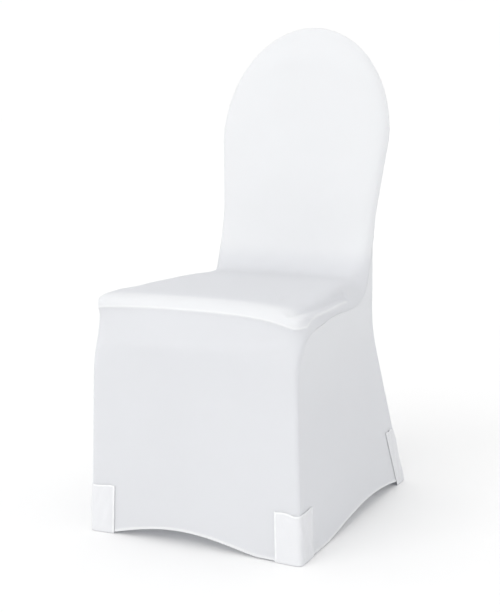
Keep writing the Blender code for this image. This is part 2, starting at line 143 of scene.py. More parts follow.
HEM_BASE = 0.0028
HEM_FADE = 0.26
HEM_ARCHES = {
    # skirt:  (height, start, span, lean, sharpness)
    "front": (0.0212, 0.107, 0.693, 0.91, 1.16),
    "rear": (0.0190, 0.10, 0.80, 1.00, 1.2),
    "side": (0.0220, 0.22, 0.78, 1.10, 1.03),
}

# Stations across half a backrest row: shares of its half width, and of its depth there
EDGE_SHARE = np.array([0.0, 0.42, 0.74, 0.90, 0.97, 1.0])
EDGE_DEPTH = np.array([1.0, 0.98, 0.90, 0.70, 0.39, 0.0])
TURN_ROW = 7                  # station row of the cushion's ridge, where the side seam turns back
KEY_SHIFT = 1.37e-7           # keeps shared points off the boundaries between two rounded values

# Painted light and shade in each part, set as how dense the knit lies: 0 is the darkest, most
# stretched look and 1 the whitest, doubled one.  The seat is painted darker than the skirts, the
# backrest, the bevel and a side panel's top lighter, and a pocket's side darker.
SEAT_PAINTED_LIGHT = 0.22
SKIRT_PAINTED_LIGHT = 0.30
SIDE_TOP_PAINTED_LIGHT = 0.55
BACK_PAINTED_LIGHT = 0.72
BEVEL_PAINTED_HIGHLIGHT = 0.72
POCKET_PAINTED_LIGHT = 0.20
POCKET_SIDE_PAINTED_SHADE = 0.0

# The sharp ridge that the seam allowance lifts round the cushion's lower edge
RIDGE_HEIGHT = 0.0014
RIDGE_WIDTH = 0.0030
RIDGE_END_ROW = 12.6          # station row at which it stops, short of the crease
RIM_STATION = 9.0             # station that it follows beside the cushion

# The turned hem's section, and the rows of stitches
HEM_STEP = 0.0012             # width over which its upper edge rises
HEM_STITCH_INSET = 0.0014     # how far below that edge its stitches run
STITCH_DENT = 0.0003          # how far they draw the cloth in
STITCH_DENT_WIDTH = 0.0006
FOLDED_EDGE_DROP = 0.0005     # how far the folded edge turns in
FOLDED_EDGE_WIDTH = 0.0010
GATHER_REACH = 0.005          # how far from a seam its gathers die away
POCKET_SIDE_STITCH = 0.0030   # a pocket's stitches from its ends
POCKET_TOP_STITCH = 0.0058    # and from its top

# Shares of light that the knit lets through at ply and painted light values of 0 and of 1, where it looks
# single and stretched and where it looks doubled
PANEL_LIGHT = (0.42, 0.26)
POCKET_LIGHT = (0.14, 0.08)

# Where the surfaces are sampled between two stations, as shares of the span
HEM_START = np.array([0.0, 0.008, 0.02, 0.04, 0.06, 0.08, 0.092, 0.104, 0.116, 0.13, 0.16, 0.2,
                      0.27, 0.35, 0.44, 0.53, 0.62, 0.71, 0.80, 0.90])
SEAM_START = np.array([0.0, 0.006, 0.014, 0.026, 0.045, 0.075, 0.12, 0.18, 0.26, 0.35, 0.45,
                       0.56, 0.67, 0.78, 0.89])
SEAM_END = np.concatenate([[0.0], 1.0 - SEAM_START[:0:-1]])


def even(steps):
    """Even shares of a span."""
    return np.arange(steps) / steps


def run_of_places(spans, first=0):
    """Station numbers along a run of spans, from the shares at which each span is sampled."""
    places = [first + number + shares for number, shares in enumerate(spans)]
    return np.concatenate(places + [[first + len(spans)]])


LEG_PLACES = run_of_places([HEM_START, even(17), even(17), even(14), even(8), even(12), SEAM_END])
SEAT_PLACES = run_of_places([SEAM_START, even(9), even(14), even(16), even(16), even(16), even(16),
                             SEAM_END], TURN_ROW)
JOIN_ROW = TURN_ROW + 8
BACK_PLACES = run_of_places([even(11)] * 8 + [SEAM_END], JOIN_ROW)
FRONT_PLACES = np.concatenate([LEG_PLACES[:-1], SEAT_PLACES[:-1], BACK_PLACES])
HALF_PLACES = run_of_places([even(16), even(12), even(9), even(8), SEAM_END])
COLUMN_PLACES = np.concatenate([5.0 - HALF_PLACES[:0:-1], 5.0 + HALF_PLACES])

# Folds that the photograph shows, as the points that each passes through, its half width and
# its height; a trough has a height below zero.
FOLDS = {
    # name: (panel, half width, height, points)
    "right valley": ("front_panel", 0.0088, -0.0062,
                     ((0.1700, -0.2640, 0.4280), (0.1850, -0.2500, 0.4300), (0.1905, -0.2328, 0.4325),
                      (0.1955, -0.1936, 0.4330), (0.1945, -0.1358, 0.4310), (0.1840, -0.0600, 0.4295),
                      (0.1720, 0.0200, 0.4260))),
    "left valley": ("front_panel", 0.0120, -0.0020,
                    ((-0.1720, -0.2000, 0.4440), (-0.1800, -0.1300, 0.4430), (-0.1740, -0.0300, 0.4400))),
    "corner fold": ("front_panel", 0.0045, 0.0014,
                    ((0.1400, -0.2200, 0.4420), (0.1301, -0.1939, 0.4456), (0.1335, -0.1720, 0.4462))),
    "rail line": ("front_panel", 0.0080, 0.0009,
                  ((-0.1950, -0.2700, 0.3500), (-0.061, -0.2748, 0.3569), (0.038, -0.2750, 0.3604),
                   (0.132, -0.2725, 0.3666), (0.1845, -0.2668, 0.3805))),
}


def hex_colour(code):
    """Linear RGB of an sRGB colour given as six hex digits."""
    channels = [int(code[place:place + 2], 16) / 255 for place in (0, 2, 4)]
    return tuple(c / 12.92 if c <= 0.04045 else ((c + 0.055) / 1.055) ** 2.4 for c in channels)


class CoverSizes(bpy.types.PropertyGroup):
    """Sizes of the cloth and of its sewing."""

    cloth: FloatProperty(name="Cloth", description="Thickness of the stretched knit",
                         default=0.0011, min=0.0004, max=0.003, unit="LENGTH", subtype="DISTANCE")
    seam_depth: FloatProperty(name="Seam depth", description="How far the cloth rolls in at a seam",
                              default=0.0003, min=0.0, max=0.003, unit="LENGTH", subtype="DISTANCE")
    seam_width: FloatProperty(name="Seam width", description="Half width of the groove along a seam",
                              default=0.0010, min=0.0005, max=0.006, unit="LENGTH", subtype="DISTANCE")
    pucker: FloatProperty(name="Pucker", description="Height of the gathers that the seam thread draws",
                          default=0.00022, min=0.0, max=0.001, unit="LENGTH", subtype="DISTANCE")
    pucker_pitch: FloatProperty(name="Pucker pitch", description="Distance between two gathers",
                                default=0.0125, min=0.003, max=0.05, unit="LENGTH", subtype="DISTANCE")
    hem: FloatProperty(name="Hem", description="Width of the turned hem",
                       default=0.0048, min=0.003, max=0.03, unit="LENGTH", subtype="DISTANCE")
    hem_rise: FloatProperty(name="Hem rise", description="How far the doubled hem stands proud",
                            default=0.0006, min=0.0, max=0.002, unit="LENGTH", subtype="DISTANCE")
    stitch: FloatProperty(name="Stitch", description="Length of one stitch",
                          default=0.0028, min=0.001, max=0.008, unit="LENGTH", subtype="DISTANCE")
    stitch_pitch: FloatProperty(name="Stitch pitch", description="Distance between two stitches",
                                default=0.0042, min=0.0015, max=0.01, unit="LENGTH", subtype="DISTANCE")
    thread: FloatProperty(name="Thread", description="Thickness of the sewing thread",
                          default=0.0005, min=0.0002, max=0.001, unit="LENGTH", subtype="DISTANCE")


class CoverColours(bpy.types.PropertyGroup):
    """Colours of the cloth in its single, doubled and pocket plies, and of the thread."""

    single: FloatVectorProperty(name="Single cloth", description="White knit over a darker inside",
                                default=hex_colour("F1F2F5"), size=3, subtype="COLOR", min=0, max=1)
    doubled: FloatVectorProperty(name="Doubled cloth", description="Two plies of the same knit",
                                 default=hex_colour("FBFCFD"), size=3, subtype="COLOR", min=0, max=1)
    pocket: FloatVectorProperty(name="Pocket cloth", description="The same knit, doubled and less stretched",
                                default=hex_colour("ECEDF0"), size=3, subtype="COLOR", min=0, max=1)
    thread: FloatVectorProperty(name="Thread", description="White polyester thread",
                                default=hex_colour("EEEFF0"), size=3, subtype="COLOR", min=0, max=1)


class StageSettings(bpy.types.PropertyGroup):
    """The floor, the light and the camera."""

    floor: FloatVectorProperty(name="Floor", description="Colour of the pale floor",
                               default=hex_colour("F5F5F5"), size=3, subtype="COLOR", min=0, max=1)
    sky: FloatProperty(name="Surround", description="Strength of the light from all round",
                       default=1.01, min=0.0, max=4.0)
    key: FloatProperty(name="Key light", description="Strength of the wide light from the front left",
                       default=0.76, min=0.0, max=20.0)
    key_spread: FloatProperty(name="Key spread", description="Angle that the key light fills, in degrees",
                              default=50.0, min=0.0, max=180.0)
    key_turn: FloatProperty(name="Key turn", description="Where the key light comes from, left of the front",
                            default=16.0, min=-180.0, max=180.0)
    key_rise: FloatProperty(name="Key rise", description="Height of the key light over the floor, in degrees",
                            default=33.0, min=0.0, max=90.0)
    focal_length: FloatProperty(name="Focal length", description="Of the camera, in millimetres",
                                default=72.566, min=20.0, max=300.0)


# Rows of stations


def half_row(middle, shoulder, rim, seam):
    """Six stations from the middle of a row to its seam.

    Two of them lie at half and at 86 percent of the way to the shoulder.  Depth follows the
    square of that share and height its cube, so a row is fullest in its middle.
    """
    middle, shoulder, rim, seam = (np.array(point, float) for point in (middle, shoulder, rim, seam))
    reach = shoulder - middle
    between = [middle + reach * np.array([share, share ** 2, share ** 3]) for share in (0.5, 0.86)]
    return np.array([middle, *between, shoulder, rim, seam])


def whole_row(half):
    """A half row and its mirror image, eleven stations from -X to +X."""
    mirror = half[::-1] * np.array([-1.0, 1.0, 1.0])
    return np.vstack([mirror[:-1], half])


def back_plane_y(z):
    """Middle of the backrest's thickness at height z."""
    return BACK_FOOT_Y + (z - SEAT_LEVEL) * math.tan(RECLINE)


def skirt_rows():
    """Half rows of the front skirt, from the hem to just under the seat's rim."""
    rows = []
    for z, dip in SKIRT_LEVELS:
        x = FRONT_FOOT_X - LEG_LEAN * z / LEG_TOP_Z
        y = FRONT_FOOT_Y
        rows.append(half_row((0, y + 0.003 + SKIRT_DIP * dip, z), (x - 0.010, y, z),
                             (x - 0.003, y + 0.001, z), (x, y + 0.006, z)))
    x = FRONT_FOOT_X - LEG_LEAN
    rows.append(half_row((0, RAIL_Y, RAIL_Z), (x - 0.015, FRONT_FOOT_Y + 0.004, RAIL_Z - 0.004),
                         (x - 0.003, FRONT_FOOT_Y + 0.009, RAIL_Z - 0.002),
                         (x, FRONT_FOOT_Y + 0.024, RAIL_Z + 0.004)))
    y, z = RIDGE_Y + UNDER_RIDGE_BACK, RIDGE_Z - UNDER_RIDGE
    rows.append(half_row((0, y, z), (CORNER_X - 0.006, CORNER_Y + 0.007, z - CORNER_DROP),
                         (SIDE_RIM_X - 0.0055, SIDE_RIM_Y - 0.004, z - 0.019),
                         (x, SIDE_RIM_Y - 0.002, z - 0.036)))
    return rows


def seat_rows():
    """Half rows of the seat, from the ridge under its bevelled front edge to the crease."""
    x, z = SIDE_SEAM_FRONT_X, SIDE_SEAM_Z
    low = RIDGE_Z - CORNER_DROP
    rows = [
        half_row((0, RIDGE_Y, RIDGE_Z), (CORNER_X - 0.002, CORNER_Y + 0.002, low),
                 (SIDE_RIM_X - 0.001, SIDE_RIM_Y - 0.002, low - 0.004), (x, -0.2230, z)),
        half_row((0, RIDGE_Y + 0.0035, RIDGE_Z + 0.0070), (CORNER_X + 0.001, CORNER_Y, low + 0.011),
                 (SIDE_RIM_X + 0.001, SIDE_RIM_Y + 0.004, low + 0.005), (x - 0.001, -0.2000, z + 0.003)),
        half_row((0, BEVEL_Y, BEVEL_Z), (CORNER_X - 0.001, CORNER_Y + 0.005, BEVEL_Z - 0.006),
                 (SIDE_RIM_X + 0.006, SIDE_RIM_Y + 0.020, SIDE_RIM_Z + 0.005),
                 (x - 0.002, -0.1700, z + 0.005)),
    ]
    for share, side_y, rise in SIDE_SEAM:
        y = RIDGE_Y + (CREASE_Y - RIDGE_Y) * share
        top = SEAT_Z + SEAT_SWELL * math.sin(math.pi * share)
        shoulder_x = SHOULDER_FRONT_X + (SHOULDER_REAR_X - SHOULDER_FRONT_X) * share
        rim_x = SIDE_RIM_X + 0.007 + (SIDE_SEAM_REAR_X - 0.010 - SIDE_RIM_X) * share
        rim_z = SIDE_RIM_Z + (SIDE_RIM_REAR_Z - SIDE_RIM_Z) * share
        seam_x = x + (SIDE_SEAM_REAR_X - x) * share
        rows.append(half_row((0, y, top), (shoulder_x, 0.5 * (y + side_y), SEAT_Z - 0.003),
                             (rim_x, side_y, rim_z), (seam_x, side_y, z + rise)))
    rows.append(half_row((0, CREASE_Y, CREASE_Z), (0.145, CREASE_Y, CREASE_Z),
                         (SIDE_SEAM_REAR_X - 0.010, CREASE_Y + 0.006, SIDE_RIM_REAR_Z + 0.016),
                         (SIDE_SEAM_REAR_X - 0.001, CREASE_Y + 0.016, SIDE_RIM_REAR_Z - 0.004)))
    return rows


def sag_right_corner(net):
    """Lowers the right front corner of the cushion, where the cloth is drawn down."""
    for row, before, shoulder, rim in RIGHT_SAG_ROWS:
        net[row, -4, 2] -= RIGHT_SAG * before
        net[row, -3, 2] -= RIGHT_SAG * shoulder
        net[row, -2, 2] -= RIGHT_SAG * rim


def join_row(depth, side):
    """Half row where front, side and rear panels meet; side is -1 for the front, 1 for the rear."""
    y = back_plane_y(JOIN_Z)
    if side < 0:
        return half_row((0, y - depth - 0.002, JOIN_Z - 0.016),
                        (JOIN_X - 0.020, y - 0.9 * depth, JOIN_Z - 0.012),
                        (JOIN_X - 0.006, y - 0.016, JOIN_Z - 0.006), (JOIN_X, y - 0.002, JOIN_Z))
    return half_row((0, y + depth, JOIN_Z), (JOIN_X - 0.020, y + 0.8 * depth, JOIN_Z),
                    (JOIN_X - 0.005, y + 0.35 * depth, JOIN_Z), (JOIN_X, y - 0.002, JOIN_Z))


def back_rows(depth, side):
    """Half rows of one face of the backrest above the join, ending on the crown's edge.

    Over the oval top a row of share b and a station of share a lie at
    x = R a sqrt(1 - b b / 2) and at v = H b sqrt(1 - a a / 2) up the backrest.
    """
    rows = []
    spring_z = CROWN_Z - CROWN_RISE * math.cos(RECLINE)
    for z in np.linspace(JOIN_Z, spring_z, 5)[1:]:
        width = np.interp(z, (JOIN_Z, JOIN_Z + MIDDLE_ABOVE_JOIN, spring_z),
                          (WAIST_HALF_WIDTH, MIDDLE_HALF_WIDTH, CROWN_HALF_WIDTH))
        y = back_plane_y(z) + side * depth * EDGE_DEPTH
        rows.append(np.stack([EDGE_SHARE * width, y, np.full(6, z)], 1))
    for b in (0.2, 0.4, 0.6, 0.8, 1.0):
        a = EDGE_SHARE
        x = CROWN_HALF_WIDTH * a * np.sqrt(1 - b * b / 2)
        v = CROWN_RISE * b * np.sqrt(1 - a * a / 2)
        share = np.sqrt(np.clip(a * a + b * b - a * a * b * b, 0, 1))
        y = back_plane_y(spring_z) + v * math.sin(RECLINE)
        y = y + side * depth * np.interp(share, EDGE_SHARE, EDGE_DEPTH)
        rows.append(np.stack([x, y, spring_z + v * math.cos(RECLINE)], 1))
    return rows


def rear_half_row(x, y, z, dip):
    """A level half row of the rear skirt round a leg corner at (x, y)."""
    return half_row((0, y - 0.003 - dip, z), (x - 0.013, y, z), (x - 0.002, y - 0.003, z), (x, y - 0.014, z))


def rear_skirt_rows():
    """Half rows of the rear skirt, from the hem up the splayed legs to below the join."""
    knee_x, knee_y, knee_z = REAR_KNEE
    rows = []
    for share in (0.0, 0.2, 0.4, 0.6, 0.8, 1.0):
        x = REAR_FOOT_X + (knee_x - REAR_FOOT_X) * share
        y = REAR_FOOT_Y + (knee_y - REAR_FOOT_Y) * share
        rows.append(rear_half_row(x, y, knee_z * share, REAR_DIP * math.sin(math.pi * share)))
    x = 0.5 * (knee_x + JOIN_X) + 0.002
    y = 0.5 * (knee_y + back_plane_y(JOIN_Z)) + 0.002
    rows.append(rear_half_row(x, y, 0.5 * (knee_z + JOIN_Z), 0.0))
    return rows


# Surfaces through the stations


def blend_matrix(count, places):
    """Weights of uniform cubic blending at given places, ending on the first and last station.

    A station beyond either end is the mirror of its neighbour through the end station.
    """
    span = np.minimum(places.astype(int), count - 2)
    t = places - span
    weights = np.array([(1 - t) ** 3, 3 * t ** 3 - 6 * t ** 2 + 4,
                        -3 * t ** 3 + 3 * t ** 2 + 3 * t + 1, t ** 3]) / 6
    matrix = np.zeros((len(places), count))
    row = np.arange(len(places))
    for step in range(4):
        station = span - 1 + step
        low, high = station < 0, station >= count
        inside = ~(low | high)
        np.add.at(matrix, (row[inside], station[inside]), weights[step][inside])
        for out, end, beside in ((low, 0, 1), (high, count - 1, count - 2)):
            np.add.at(matrix, (row[out], np.full(out.sum(), end)), 2 * weights[step][out])
            np.add.at(matrix, (row[out], np.full(out.sum(), beside)), -weights[step][out])
    return matrix


def blended(net, row_places, column_places):
    """Surface points of a net of stations."""
    rows = blend_matrix(net.shape[0], row_places)
    columns = blend_matrix(net.shape[1], column_places)
    return np.einsum("ri,ijk,cj->rck", rows, net, columns)


def passing_through(net, first):
    """Moves the stations of the rows from first on, so that the surface passes through them."""
    out = net.copy()
    share = np.clip((np.arange(len(net)) - first + 1) / 2.0, 0, 1)[:, None, None]
    at_rows, at_columns = (np.arange(size, dtype=float) for size in net.shape[:2])
    for _ in range(3):
        out = out + share * (net - blended(out, at_rows, at_columns))
    return out


def hem_lift(skirt, share, z):
    """How far the hem's arch lifts a point at a share of the skirt's width and height z.

    The arch is h sin(pi a) ^ k with a = ((share - start) / span) ^ lean, and fades with height.
    """
    height, start, span, lean, sharpness = HEM_ARCHES[skirt]
    along = np.clip((share - start) / span, 0, 1) ** lean
    arch = height * np.sin(math.pi * along) ** sharpness
    return (HEM_BASE + arch) * np.clip(1 - z / HEM_FADE, 0, 1) ** 2


def side_surface(front_edge, top_edge, rear_edge):
    """Surface between three edges of a side panel and a straight foot line.

    Each point is the sum of the two ruled surfaces between opposite edges, less the
    surface ruled between the four corners.
    """
    s = ((SEAT_PLACES - TURN_ROW) / (JOIN_ROW - TURN_ROW))[None, :, None]
    t = (LEG_PLACES / TURN_ROW)[:, None, None]
    foot_line = front_edge[0] + (rear_edge[0] - front_edge[0]) * s[0]
    across = (1 - s) * front_edge[:, None] + s * rear_edge[:, None]
    upward = (1 - t) * foot_line[None] + t * top_edge[None]
    corners = ((1 - s) * (1 - t) * front_edge[0] + s * (1 - t) * rear_edge[0]
               + (1 - s) * t * front_edge[-1] + s * t * rear_edge[-1])
    return across + upward - corners


def join_rear_to_front(rear, front):
    """Moves the rear surface's edges above the join onto the front surface's edges."""
    reach = np.clip(1 - COLUMN_PLACES * 3 / 5, 0, 1) ** 2
    above = len(BACK_PLACES)
    left = front[-above:, 0] - rear[-above:, 0]
    right = front[-above:, -1] - rear[-above:, -1]
    rear[-above:] += left[:, None] * reach[None, :, None] + right[:, None] * reach[::-1][None, :, None]
    share = np.clip(1 - (TURN_ROW - LEG_PLACES[:-1]) * 2 / 3, 0, 1) ** 2
    at_join = left[0] * reach[:, None] + right[0] * reach[::-1][:, None]
    rear[:-above] += share[:, None, None] * at_join[None]
    rear[-1] = front[-1]


@functools.cache
def cover_surfaces():
    """Outer faces of the four panels as grids of points, rows upward."""
    front_rows = skirt_rows() + seat_rows() + [join_row(FRONT_DEPTH, -1)] + back_rows(FRONT_DEPTH, -1)
    rear_rows = rear_skirt_rows() + [join_row(REAR_DEPTH, 1)] + back_rows(REAR_DEPTH, 1)
    front_net, rear_net = (np.array([whole_row(row) for row in rows]) for rows in (front_rows, rear_rows))
    sag_right_corner(front_net)
    rear_places = np.concatenate([LEG_PLACES[:-1], BACK_PLACES - JOIN_ROW + TURN_ROW])
    front = blended(passing_through(front_net, JOIN_ROW + 1), FRONT_PLACES, COLUMN_PLACES)
    rear = blended(passing_through(rear_net, TURN_ROW + 1), rear_places, COLUMN_PLACES)
    join_rear_to_front(rear, front)
    turn = len(LEG_PLACES) - 1
    join = turn + len(SEAT_PLACES) - 1
    surfaces = {}
    for name, column in (("side_panel_right", -1), ("side_panel_left", 0)):
        side = side_surface(front[:turn + 1, column], front[turn:join + 1, column], rear[:turn + 1, column])
        share = ((SEAT_PLACES - TURN_ROW) / (JOIN_ROW - TURN_ROW))[None, :]
        side[..., 2] += hem_lift("side", share, side[..., 2])
        surfaces[name] = side
    for name, grid, skirt in (("front_panel", front, "front"), ("rear_panel", rear, "rear")):
        grid = grid.copy()
        share = 0.5 + 0.5 * np.clip(grid[..., 0] / np.abs(grid[0, -1, 0]), -1, 1)
        grid[..., 2] += hem_lift(skirt, share, grid[..., 2])
        surfaces[name] = grid
    return surfaces


def unit(vectors):
    """Vectors scaled to length 1."""
    return vectors / np.maximum(np.linalg.norm(vectors, axis=-1, keepdims=True), 1e-12)


# Panels seen from outside run from +X to -X where this is true.
FLIPPED = {"front_panel": False, "rear_panel": True, "side_panel_right": False, "side_panel_left": True}


@functools.cache
def shared_normals():
    """Outward normals of every surface point, averaged over all panels that meet there."""
    surfaces = cover_surfaces()
    sums = []
    for name, grid in surfaces.items():
        a, b = grid[:-1, :-1], grid[:-1, 1:]
        c, d = grid[1:, 1:], grid[1:, :-1]
        area = np.cross(c - a, d - b) * (-1.0 if FLIPPED[name] else 1.0)
        total = np.zeros_like(grid)
        total[:-1, :-1] += area
        total[:-1, 1:] += area
        total[1:, 1:] += area
        total[1:, :-1] += area
        sums.append(unit(total).reshape(-1, 3))
    points = np.concatenate([grid.reshape(-1, 3) for grid in surfaces.values()])
    keys, place = np.unique(np.round(points + KEY_SHIFT, 6), axis=0, return_inverse=True)
    meeting = np.zeros_like(keys)
    np.add.at(meeting, place.ravel(), np.concatenate(sums))
    merged = unit(meeting)[place.ravel()]
    normals, start = {}, 0
    for name, grid in surfaces.items():
        count = grid.shape[0] * grid.shape[1]
        normals[name] = merged[start:start + count].reshape(grid.shape)
        start += count
    return normals


def seam_setback(grid, normals):
    """Moves of the edge points of a panel into it, by half the seam gap."""
    move = np.zeros_like(grid)

    def inward(edge, neighbour, normal):
        way = neighbour - edge
        way -= np.sum(way * normal, -1, keepdims=True) * normal
        along = unit(np.gradient(edge, axis=0))
        way -= np.sum(way * along, -1, keepdims=True) * along
        return 0.5 * SEAM_GAP * unit(way)

    for column, inner in ((0, 1), (-1, -2)):
        neighbour = grid[:, inner].copy()
        neighbour[-1] = grid[-2, inner]
        move[:, column] += inward(grid[:, column], neighbour, normals[:, column])
    neighbour = grid[-2].copy()
    neighbour[[0, -1]] = grid[-2, [1, -2]]
    move[-1] += inward(grid[-1], neighbour, normals[-1])
    return move


def edge_distances(grid):
    """Lengths along the cloth from a grid's first and last column, and first and last row."""
    across = np.zeros(grid.shape[:2])
    across[:, 1:] = np.cumsum(np.linalg.norm(np.diff(grid, axis=1), axis=2), axis=1)
    along = np.zeros(grid.shape[:2])
    along[1:] = np.cumsum(np.linalg.norm(np.diff(grid, axis=0), axis=2), axis=0)
    return across, across[:, -1:] - across, along, along[-1:] - along


def soft_step(x):
    """Smooth rise from 0 to 1 as x goes from 0 to 1: x x (3 - 2 x)."""
    x = np.clip(x, 0, 1)
    return x * x * (3 - 2 * x)


def fold_height(points, path, half_width, height, crisp=False):
    """Height of a fold over points: h exp(-(d / w)^2), or h exp(-d / w) if it is crisp.

    d is the distance to the path's nearest point, and both ends of the path fade in.
    """
    path = np.array(path, float)
    lengths = np.linalg.norm(np.diff(path, axis=0), axis=1)
    starts = np.concatenate([[0], np.cumsum(lengths)])
    nearest = np.full(points.shape[:-1], np.inf)
    run = np.zeros(points.shape[:-1])
    for first, last, length, start in zip(path[:-1], path[1:], lengths, starts):
        way = (last - first) / length
        share = np.clip((points - first) @ way, 0, length)
        distance = np.linalg.norm(points - first - share[..., None] * way, axis=-1)
        closer = distance < nearest
        nearest = np.where(closer, distance, nearest)
        run = np.where(closer, start + share, run)
    total = starts[-1]
    fade_in = min(0.18 * total, 0.015)
    fade = soft_step(run / fade_in) * soft_step((total - run) / fade_in)
    share = nearest / half_width
    return height * np.exp(-share if crisp else -share ** 2) * fade


def sewn_edge(distance, run, sizes):
    """Roll of the cloth into a seam, the lip that its allowance lifts, and the gathers beside it.

    The roll is -depth exp(-(d / w)^2) and the lip 0.8 depth exp(-((d - 2 w) / 1.4 w)^2).  The
    gathers are p exp(-d / reach) times two sines along the seam whose pitches drift a little.
    """
    width = sizes.seam_width
    roll = -sizes.seam_depth * np.exp(-(distance / width) ** 2)
    roll += 0.8 * sizes.seam_depth * np.exp(-((distance - 2 * width) / (1.4 * width)) ** 2)
    drift = run + 0.004 * np.sin(run * 61.0) + 0.006 * np.sin(run * 23.0 + 1.0)
    wave = np.sin(2 * math.pi * drift / sizes.pucker_pitch) + 0.5 * np.sin(2 * math.pi * drift / 0.031)
    return roll + sizes.pucker * np.exp(-distance / GATHER_REACH) * wave


@functools.cache
def cushion_ridge():
    """Share of the sharp seam ridge round the cushion's lower edge: exp(-d / w).  It lifts the ridge, and
    also paints a highlight along its line.

    d is the distance to a line that follows the turn row across the front and the rim
    station back along each side.
    """
    grid = cover_surfaces()["front_panel"]
    turn = len(LEG_PLACES) - 1
    crease = turn + np.searchsorted(SEAT_PLACES, RIDGE_END_ROW)
    rim = np.searchsorted(COLUMN_PLACES, RIM_STATION)
    left_rim = grid.shape[1] - 1 - rim
    line = np.concatenate([grid[crease:turn:-6, left_rim], grid[turn, left_rim:rim:4],
                           grid[turn:crease:6, rim]])
    near = slice(turn - 30, crease + 20)
    share = np.zeros(grid.shape[:2])
    share[near] = fold_height(grid[near], line, RIDGE_WIDTH, 1.0, crisp=True)
    return share


def add_object(name, data):
    """A new object in the scene."""
    made = bpy.data.objects.new(name, data)
    bpy.context.scene.collection.objects.link(made)
    return made


def sheet_object(name, outer, inner, uv, ply_and_painted_light, flip):
    """A closed sheet between two grids of points, with rounded edges, its cloth map, and its ply and painted
    light values.

    Between the outer and the inner edge runs a third ring, half a thickness further out.
    """
    rows, columns = outer.shape[:2]
    count = rows * columns
    number = np.arange(count).reshape(rows, columns)
    quads = np.stack([number[:-1, :-1], number[:-1, 1:], number[1:, 1:], number[1:, :-1]], -1).reshape(-1, 4)
    ring = np.concatenate([number[0], number[1:, -1], number[-1, -2::-1], number[-2:0:-1, 0]])
    inside = np.concatenate([number[1, 1:-1][[0]], number[1, 1:-1], number[1, 1:-1][[-1]],
                             number[1:-1, -2], number[-2, 1:-1][[-1]], number[-2, 1:-1][::-1],
                             number[-2, 1:-1][[0]], number[1:-1, 1][::-1]])
    flat_outer, flat_inner = outer.reshape(-1, 3), inner.reshape(-1, 3)
    middle = 0.5 * (flat_outer[ring] + flat_inner[ring])
    thick = np.linalg.norm(flat_outer[ring] - flat_inner[ring], axis=1, keepdims=True)
    way = middle - 0.5 * (flat_outer[inside] + flat_inner[inside])
    through = unit(flat_outer[ring] - flat_inner[ring])
    way = unit(way - np.sum(way * through, 1, keepdims=True) * through)
    nose = middle + 0.15 * thick * way
    following = np.roll(ring, -1)
    nose_number = 2 * count + np.arange(len(ring))
    nose_following = np.roll(nose_number, -1)
    rim = np.concatenate([
        np.stack([following, ring, nose_number, nose_following], 1),
        np.stack([nose_following, nose_number, ring + count, following + count], 1)])
    faces = np.concatenate([quads, quads[:, ::-1] + count, rim])
    if flip:
        faces = faces[:, ::-1]
    mesh = bpy.data.meshes.new(name)
    fill_mesh(mesh, np.concatenate([flat_outer, flat_inner, nose]), faces)
    uv, ply_and_painted_light = uv.reshape(-1, 2), ply_and_painted_light.ravel()
    maps = np.concatenate([uv, uv, uv[ring]])
    layer = mesh.uv_layers.new(name="cloth")
    layer.data.foreach_set("uv", maps[faces.ravel()].astype(np.float32).ravel())
    ply_and_painted_light_layer = mesh.attributes.new("ply_and_painted_light", "FLOAT", "POINT")
    ply_and_painted_light_layer.data.foreach_set("value", np.concatenate([ply_and_painted_light, ply_and_painted_light, ply_and_painted_light[ring]]).astype(np.float32))
    return add_object(name, mesh)


def fill_mesh(mesh, points, faces):
    """Puts points and faces with four corners each into a mesh, smoothly shaded."""
    mesh.vertices.add(len(points))
    mesh.vertices.foreach_set("co", points.astype(np.float32).ravel())
    mesh.loops.add(faces.size)
    mesh.loops.foreach_set("vertex_index", faces.astype(np.int32).ravel())
    mesh.polygons.add(len(faces))
    mesh.polygons.foreach_set("loop_start", np.arange(0, faces.size, 4, dtype=np.int32))
    mesh.update(calc_edges=True)
    mesh.validate()
    mesh.shade_smooth()


# Materials


def node(tree, kind, inputs=None, **settings):
    """Adds a node; inputs maps a socket's name or number to a value or to another socket."""
    made = tree.nodes.new(kind)
    for key, value in settings.items():
        setattr(made, key, value)
    for key, value in (inputs or {}).items():
        if isinstance(value, bpy.types.NodeSocket):
            tree.links.new(value, made.inputs[key])
        else:
            made.inputs[key].default_value = value
    return made


def opaque(colour):
    """A colour with full cover."""
    return (*colour, 1.0)


def bare_material(name):
    """A material with an empty tree of nodes, and that tree."""
    material = bpy.data.materials.new(name)
    material.use_nodes = True
    material.node_tree.nodes.clear()
    return material, material.node_tree


# Weft-knit loops: a stretched circular knit has wales about 0.6 mm apart, too fine to show
# in the picture, so both pitches are drawn at twice that.
WALE = 0.0013
COURSE = 0.0011


